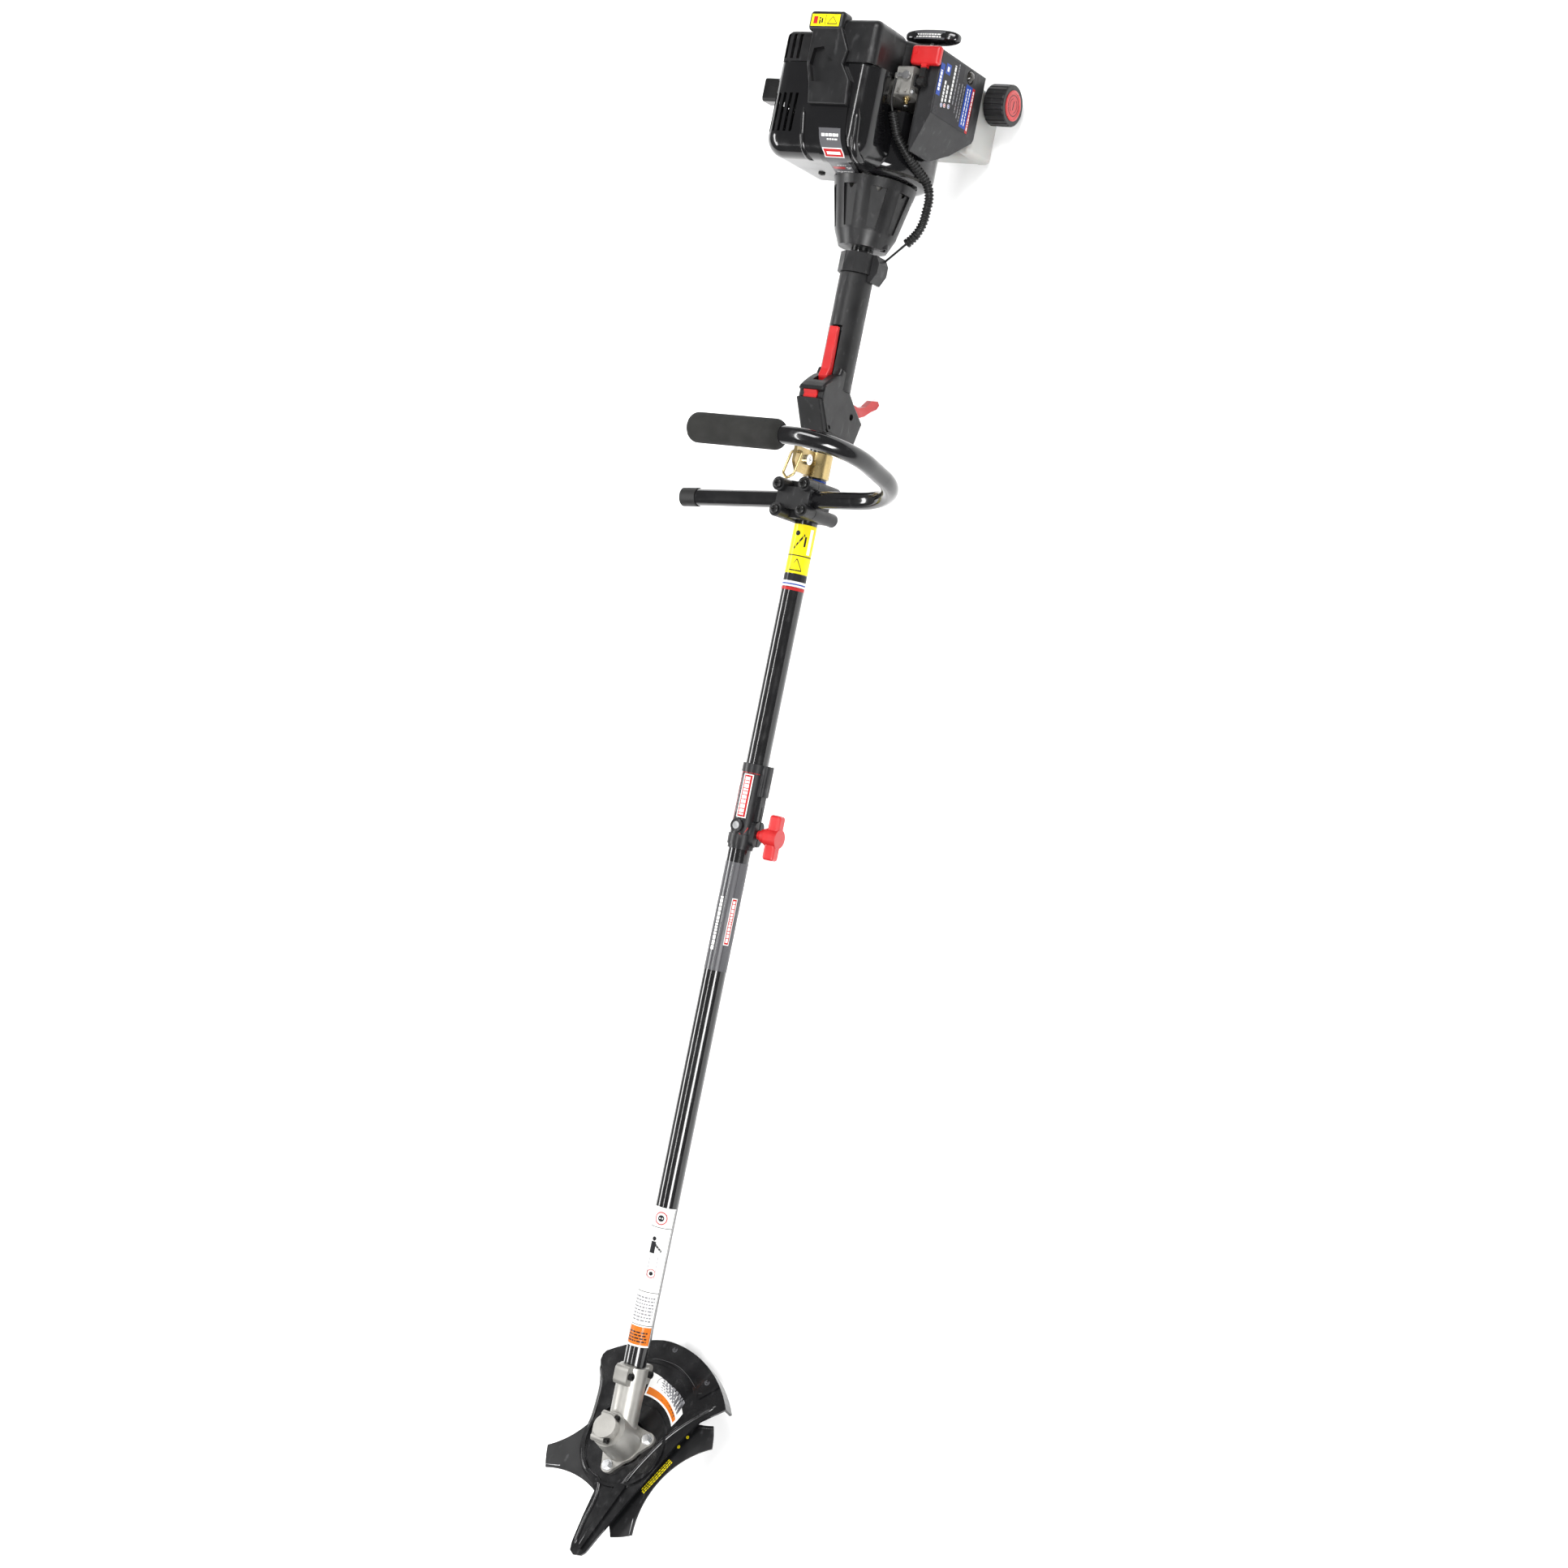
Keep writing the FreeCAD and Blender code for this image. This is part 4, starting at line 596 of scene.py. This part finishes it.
def dress_coupler():
    """Boxed mark on the coupler with an arrow outline round it."""
    place = on_boom(BOOM_R + 1.6, 80.0)
    layers = [patch("ink_white", 692, 740, -7, 5, 0, 1, 5), patch("ink_red", 693, 739, -5.8, 3.8, 1, 1, 5)]
    layers += text_rows("ink_white", 695, 737, -4.2, 2.2, 1, 2, 0.1)
    layers += [patch("ink_red", 684, 742, -12.4, -11.5), patch("ink_red", 741, 742, -12, 11, 0, 1, 8),
               ("ink_red", quad((684, -12.4), (684.8, -11.4), (672.8, 5.4), (672, 4.4)), 1, 6, 0),
               ("ink_red", quad((672, 4.4), (672.8, 5.4), (682.8, 9.4), (682, 10.4)), 1, 4, 0)]
    layers += text_rows("ink_grey", 697, 738, -10.2, -8.4, 1, 0, 0.1)
    decal("coupler_label", place, layers)


def dress_upper_boom():
    """Yellow label with coloured bands ahead of it, and a blue band by the harness bracket."""
    place = on_boom(BOOM_R, 66.0)
    half = 20.0
    layers = [patch("ink_yellow", 964, 1018, -half, half, 0, 2, 18)]
    bands = [("ink_white", 949.5, 955.5, 0), ("ink_red", 945.5, 949, 0), ("ink_dark", 956, 963, 0),
             ("ink_dark", 983, 984.2, 1), ("ink_blue", 951.5, 953, 1)]
    layers += [patch(ink, first, last, -half, half, level, 1, 18) for ink, first, last, level in bands]
    layers += [("ink_dark", quad((990, -6), (992, -7), (1008, 3), (1006, 4)), 2, 3, 1),
               ("ink_dark", ring(1008, -5, 2.8, 0.1), 1, 14, 1), patch("ink_dark", 994, 1005, 4, 6, 1),
               ("ink_dark", quad((967, -7), (968.4, -7), (980, 0.6), (980, -0.6)), 1, 4, 1),
               ("ink_dark", quad((967, 7), (968.4, 7), (980, 0.6), (980, -0.6)), 1, 4, 1),
               patch("ink_dark", 966.6, 968, -7, 7, 1, 1, 5), patch("ink_white", 986, 1014, 9, 13, 1, 1, 3)]
    decal("upper_boom_label", place, layers)
    layers = [patch("ink_blue", 1058, 1068.5, -half, half, 0, 1, 18)]
    layers += text_rows("ink_white", -9, 12, 1060, 1066, 2, 1, 0.5, turn=True)
    decal("upper_boom_band", place, layers)


# ---------------------------------------------------------------- handle and controls

def dress_handle():
    """Foam sleeve with rounded ends, just inside its CAD solid."""
    low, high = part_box("foam_grip")
    middle_z = (low[2] + high[2]) / 2
    radius = (high[2] - low[2]) / 2 / MM
    first = Vector((high[0] - radius * MM, low[1], middle_z))
    second = Vector((low[0] + radius * MM, high[1], middle_z))
    length = (second - first).length / MM
    end_round = 10.0
    steps = 80

    def foam_radius(run):
        drop = max(0.0, end_round - min(run, length - run))
        return radius - 0.35 - (end_round - math.sqrt(max(0.0, end_round ** 2 - drop ** 2)))
    route = [first.lerp(second, k / steps) for k in range(steps + 1)]
    foam = swept("foam_sleeve", route, foam_radius, ["foam"], "frame", steps=56, smooth=60)
    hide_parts("foam_grip")


def dress_grip():
    """Raised rim round the trigger housing's side face."""
    face_left = 17.0
    half_width = 1.1
    face = [(1117, -30), (1122.5, 22), (1149, 41), (1165, 41.5), (1173, 31)]
    bm = bmesh.new()
    for (x0, y0), (x1, y1) in zip(face, face[1:]):
        along = Vector((x1 - x0, y1 - y0)).normalized()
        nx, ny = -along.y * half_width, along.x * half_width
        strip = quad((x0 + nx, y0 + ny), (x1 + nx, y1 + ny), (x1 - nx, y1 - ny), (x0 - nx, y0 - ny))
        add_slab(bm, lambda x, y, h: at(x, face_left + h, y), strip, -0.4, 0.9)
    new_piece("grip_rim", bm, ["satin"], "frame", 35)


def dress_cable():
    """Corrugated sleeve along the throttle cable's route, from behind the grip collar to the carburettor."""
    cable = [(1300, 0.0, -14.25), (1316, 24.0, -11.0), (1352, 66.0, -6.5), (1398, 71.0, -3.0),
             (1419, 60.0, 36.0), (1437, 51.5, 55.0), (1470, 46.5, 74.0)]
    points = [at(*p) for p in cable]
    start = points[1].lerp(points[2], 0.62)
    end = points[5].lerp(points[6], 0.7)
    route = arc_route([start] + points[2:6] + [end], [40, 30, 30, 40], 0.9)
    pitch, crest, root = 3.6, 5.2, 4.0

    def corrugated(run):
        return crest if run % pitch < pitch / 2 else root
    sleeve = swept("corrugated_sleeve", route, corrugated, ["cable"], "frame", steps=22,
                   smooth=25)
    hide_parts("cable_conduit")


# ---------------------------------------------------------------- engine

INTAKE_FACE = left_face("air_cleaner_cover")
CONSOLE_TOP = top_face("top_cover")
SHROUD_TOP = top_face("engine_shroud")
SHROUD_FRONT = front_face("engine_shroud")
SHROUD_CORNER = 22.0
SPINE_START = 1455.0
SPINE = [(0, -9.0, 23.5), (28, -2.0, 19.5), (52, 4.0, 19.0), (72, 1.0, 19.0), (126, -22.0, 18.0)]
SPINE_HALF = 20.0
SPINE_HEIGHT = 1.6
RIDGES = [("ridge_right", [(0, -43.0), (34, -37.0), (72, -33.0)], 3.6),
          ("ridge_left", [(0, 26.0), (34, 29.0), (72, 30.0)], 4.6)]


def along_table(table, x):
    """Straight-line reading of a table whose rows start with the distance."""
    for low, high in zip(table, table[1:]):
        if x <= high[0]:
            part = max(0.0, (x - low[0]) / (high[0] - low[0]))
            return tuple(a + (b - a) * part for a, b in zip(low[1:], high[1:]))
    return table[-1][1:]


def shroud_profile(x, left, h):
    """Point on the shroud: x runs forward over the top face, round the corner and down the front."""
    flat = SPINE_START - SHROUD_FRONT - SHROUD_CORNER
    if x < flat:
        return at(SPINE_START - x, left, SHROUD_TOP + h)
    quarter = math.pi / 2
    turn = min((x - flat) / SHROUD_CORNER, quarter)
    rest = max(0.0, x - flat - SHROUD_CORNER * quarter)
    reach = SHROUD_CORNER + h
    return at(SHROUD_FRONT + SHROUD_CORNER - reach * math.sin(turn), left,
              SHROUD_TOP - SHROUD_CORNER + reach * math.cos(turn) - rest)


def dress_shroud():
    """Labelled spine over the front of the shroud with a rounded ridge on each side."""
    def spine(x, y, h):
        centre, half = along_table(SPINE, x)
        return shroud_profile(x, centre + y * half / SPINE_HALF, h)
    bm = bmesh.new()
    add_slab(bm, spine, bar(2, 124, -SPINE_HALF, SPINE_HALF), -0.5, SPINE_HEIGHT, 44, 1)
    new_piece("shroud_spine", bm, ["gloss"], "frame", 30)

    layers = [patch("ink_mid", 26, 112, -14, 14, 0, 30), patch("ink_white", 46, 57, -13, 13, 1, 6),
              patch("ink_red", 47, 56, -12, 12, 2, 6), patch("ink_white", 50, 53.2, -9, 9, 3, 3),
              patch("ink_red", 83, 91, -12, 4, 1, 3)]
    rows = [(32, 3.4, -11, 11), (37, 1.6, -4, 10), (76, 2.0, -5, 7), (84, 2.0, 6, 13), (88, 2.0, 7, 12),
            (100, 2.6, -10, 12), (105, 1.6, -6, 10)]
    for row, height, first, last in rows:
        layers += text_rows("ink_white", first, last, row, row + height, 1, 1, 0.1, turn=True)
    decal("spine_label", lambda x, y, h: spine(x, y, h + SPINE_HEIGHT), layers)
    for name, lefts, size in RIDGES:
        stops = [4 + k * 1.5 for k in range(46)]
        route = [shroud_profile(x, along_table(lefts, x)[0], -1.6) for x in stops]

        def tapered(run, size=size):
            return size * min(1.0, 0.45 + run / 14.0, 0.45 + max(0.0, 66.0 - run) / 14.0)
        swept(name, route, tapered, ["gloss"], "frame", 24, 60)


def dress_top_cover():
    """Yellow warning label on the console of the top cover."""
    top = on_plane(at(0, 0, CONSOLE_TOP), Vector((-1, 0, 0)), Vector((0, -1, 0)))
    layers = [patch("ink_yellow", 1536.5, 1549.5, 13, 49), patch("ink_dark", 1537.4, 1548.6, 30.6, 31.2, 1),
              patch("ink_red", 1539, 1547, 41, 46, 1), patch("ink_dark", 1540, 1545, 34, 36, 1),
              ("ink_dark", quad((1539, 16), (1540, 16), (1547, 21.5), (1547, 22.5)), 1, 1, 1),
              ("ink_dark", quad((1539, 28), (1540, 28), (1547, 22.5), (1547, 21.5)), 1, 1, 1),
              patch("ink_dark", 1538.6, 1539.6, 16, 28, 1)]
    layers += text_rows("ink_dark", 1539, 1547, 37, 40, 1, 1, 0.4)
    decal("cover_label", top, layers)


def dress_intake():
    """Starting label on the air cleaner cover: a tab, a picture box, lines with marks and two bands."""
    def out(x, y, h):
        return at(x, INTAKE_FACE + h, y)
    layers = [patch("ink_dark", 1466, 1516, -29, 49.4), patch("ink_dark", 1516, 1532, 0, 49.4),
              patch("ink_blue", 1487, 1521, 41, 49, 1), patch("ink_blue", 1513, 1524, 28, 38, 1),
              patch("ink_white", 1516, 1521, 31, 35, 2), patch("ink_blue", 1470, 1516, -22.5, -9, 1),
              patch("ink_red", 1467, 1516, -28, -23, 1)]
    lines = [("ink_white", 1492, 1514, 43.4, 47.2, 2), ("ink_white", 1483, 1506, 32.2, 35.4, 1),
             ("ink_white", 1485, 1504, 25.8, 29.0, 1), ("ink_white", 1487, 1527, 17.4, 20.6, 1),
             ("ink_grey", 1487, 1531, 11.0, 13.0, 1), ("ink_grey", 1480, 1512, 4.6, 6.2, 1),
             ("ink_grey", 1476, 1514, -1.2, 0.4, 1), ("ink_grey", 1474, 1514, -6.4, -4.8, 1),
             ("ink_white", 1473, 1513, -14.0, -12.4, 2), ("ink_white", 1473, 1513, -18.8, -17.2, 2),
             ("ink_white", 1470, 1513, -26.6, -24.6, 2)]
    for ink, first, last, low, high, level in lines:
        layers += text_rows(ink, first, last, low, high, 1, level, 0.0)
    marks = [(1479.5, 33.8, "ink_blue"), (1481.0, 27.4, "ink_red"), (1482.5, 19.0, "ink_blue")]
    for station, up, ink in marks:
        layers += [("ink_white", ring(station, up, 2.4, 0.2), 1, 12, 2),
                   (ink, ring(station, up, 1.8, 0.9), 1, 12, 3)]
    decal("start_label", out, layers, body="filter_cover")


def dress_carburetor():
    """Fuel fitting, idle screw and cover screw on the faces of the carburettor that show."""
    ahead = Vector((1.0, 0.0, 0.0))
    bowl_front = 1479.0
    elbow = [(0, -0.5), (4.0, -0.5), (4.0, 2.4), (2.6, 2.8), (2.6, 5.4), (3.0, 5.8), (2.0, 7.0), (0, 7.0)]
    turned("fuel_fitting", elbow, at(bowl_front, 54, 56), ahead, ["gold"], "frame", 24)
    idle = [(0, -0.5)]
    for k in range(4):
        turn = 1.3 * k
        idle += [(2.4, turn), (2.4, turn + 0.7), (1.7, turn + 0.9), (1.7, turn + 1.2)]
    idle += [(2.8, 5.3), (2.8, 6.6), (0, 6.6)]
    turned("idle_screw", idle, at(bowl_front, 47.5, 45), ahead, ["zinc"], "frame", 24)
    side = left_face("carburetor")
    cap_screw = [(0, -0.5), (2.6, -0.5), (2.6, 1.0), (1.8, 1.5), (0.9, 1.5), (0.8, 0.6), (0, 0.6)]
    turned("carburetor_screw", cap_screw, at(1484.5, side, 60.5), SIDE, ["zinc"], "frame", 24)


def dress_cap():
    """Red insert in the fuel cap with a few raised marks."""
    low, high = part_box("fuel_cap")
    centre = Vector(((low[0] + high[0]) / 2, high[1], (low[2] + high[2]) / 2))
    insert = [(0, -0.6), (16.5, -0.6), (16.5, 0.5), (15.6, 0.9), (13.6, 0.9), (13.2, 0.4), (0, 0.4)]
    turned("cap_insert", insert, centre, SIDE, ["red"], "cap")

    def out(x, y, h):
        return centre + Vector((-x, 0.4 + h, y)) * MM
    layers = [("ink_dark", ring(0, 0, 11.5, 10.7), 1, 30, 0), patch("ink_dark", -5, 5, -0.7, 0.7)]
    for first in (20, 200):
        layers.append(("ink_dark", ring(0, 0, 8.0, 7.3, first, first + 130), 1, 12, 0))
    decal("cap_marks", out, layers, body="cap", lift=0.12)


def dress_starter_grip():
    """Rounded pull handle with a label on top."""
    low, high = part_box("starter_grip")
    centre = (Vector(low) + Vector(high)) / 2
    half = (Vector(high) - Vector(low)) / 2
    bm = bmesh.new()
    rings, steps = 22, 48
    loops = []
    for i in range(1, rings):
        a = math.pi * i / rings
        span = math.copysign(abs(math.cos(a)) ** 0.8, math.cos(a))
        size = math.sin(a) ** 0.62
        loop = []
        for k in range(steps):
            b = 2 * math.pi * k / steps
            c, s = math.cos(b), math.sin(b)
            x = math.copysign(abs(c) ** 0.75, c) * size
            z = math.copysign(abs(s) ** 0.75, s) * size
            loop.append(bm.verts.new(centre + Vector((x * half.x, span * half.y, z * half.z))))
        loops.append(loop)
    for first, second in zip(loops, loops[1:]):
        for k in range(steps):
            n = (k + 1) % steps
            bm.faces.new((first[k], first[n], second[n], second[k]))
    for loop, sign in ((loops[0], 1), (loops[-1], -1)):
        pole = bm.verts.new(centre + SIDE * half.y * sign)
        for k in range(steps):
            bm.faces.new((pole, loop[k], loop[(k + 1) % steps]))
    grip = new_piece("pull_handle", bm, ["handle"], "pull_grip", 60)
    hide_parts("starter_grip")

    def out(x, y, h):
        return Vector((centre.x, centre.y, high[2])) + Vector((-x, y, h + 0.1 - 0.0035 * y * y)) * MM
    layers = [patch("ink_mid", -4.5, 4.5, -19, 19, 0, 4, 12)]
    layers += text_rows("ink_white", -16, 16, -2.6, 2.6, 2, 1, 0.4, turn=True)
    decal("pull_handle_label", out, layers, body="pull_grip", lift=0.1)


def fasteners():
    """Screw heads on the front of the shroud."""
    ahead = Vector((1, 0, 0))
    head_shape = [(0, -3.5), (4.0, -3.5), (4.0, 1.2), (3.2, 2.0), (1.9, 2.0), (1.8, 0.4), (0, 0.4)]
    for k, (left, up) in enumerate(((14, 44), (-52, 30), (44, -8))):
        turned(f"cover_screw_{k}", head_shape, at(SHROUD_FRONT, left, up), ahead, ["screw"], "frame",
               24)


# ---------------------------------------------------------------- room

def stage_room():
    """White floor, even world light and four soft lamps."""
    lowest = cad_box[0][2]
    bm = bmesh.new()
    bmesh.ops.create_grid(bm, x_segments=1, y_segments=1, size=6.0)
    mesh = bpy.data.meshes.new("floor")
    bm.to_mesh(mesh)
    bm.free()
    floor = bpy.data.objects.new("floor", mesh)
    floor.location = (0, 0, lowest - 0.5 * MM)
    bpy.context.scene.collection.objects.link(floor)
    mesh.materials.append(surface("floor_paper", (0.93, 0.93, 0.93), 0.75, grain=40, bump=0.01, mottle=0.01))
    world = bpy.data.worlds.new("room")
    bpy.context.scene.world = world
    world.use_nodes = True
    background = world.node_tree.nodes["Background"]
    background.inputs["Color"].default_value = (1.0, 1.0, 1.0, 1.0)
    background.inputs["Strength"].default_value = 0.30
    lamps = [("key", (1.1, 2.2, 2.3), (1.6, 0.9), 120.0), ("fill", (-2.0, 0.4, 2.2), (1.4, 1.0), 60.0),
             ("rim", (0.2, -2.2, 1.6), (2.4, 0.5), 70.0), ("strip", (0.0, -0.25, 2.9), (3.4, 0.16), 45.0)]
    for name, place, size, power in lamps:
        data = bpy.data.lights.new(name, "AREA")
        data.shape = "RECTANGLE"
        data.size, data.size_y = size
        data.energy = power
        lamp = bpy.data.objects.new(name, data)
        lamp.location = place
        lamp.rotation_euler = (-Vector(place)).to_track_quat("-Z", "Y").to_euler()
        bpy.context.scene.collection.objects.link(lamp)


def aim_camera():
    """View from above and the operator's left, three metres off."""
    camera = bpy.data.objects.new("camera", bpy.data.cameras.new("camera"))
    camera.data.lens = 63.07
    camera.data.sensor_width = 36.0
    right = Vector((-0.19988, 0.8240, -0.5306)).normalized()
    back = Vector((0.0, 0.5418, 0.8405)).normalized()
    up = back.cross(right).normalized()
    right = up.cross(back)
    spot = CROSS + Vector((-0.737, 1.654, 2.505))
    camera.matrix_world = Matrix.Translation(spot) @ Matrix((right, up, back)).transposed().to_4x4()
    bpy.context.scene.collection.objects.link(camera)
    bpy.context.scene.camera = camera
    bpy.context.scene.view_settings.view_transform = "Standard"


dress_nodes()
dress_blade()
dress_guard()
dress_lower_boom()
dress_coupler()
dress_upper_boom()
dress_handle()
dress_grip()
dress_cable()
dress_shroud()
dress_top_cover()
dress_intake()
dress_carburetor()
dress_cap()
dress_starter_grip()
fasteners()
stage_room()
aim_camera()
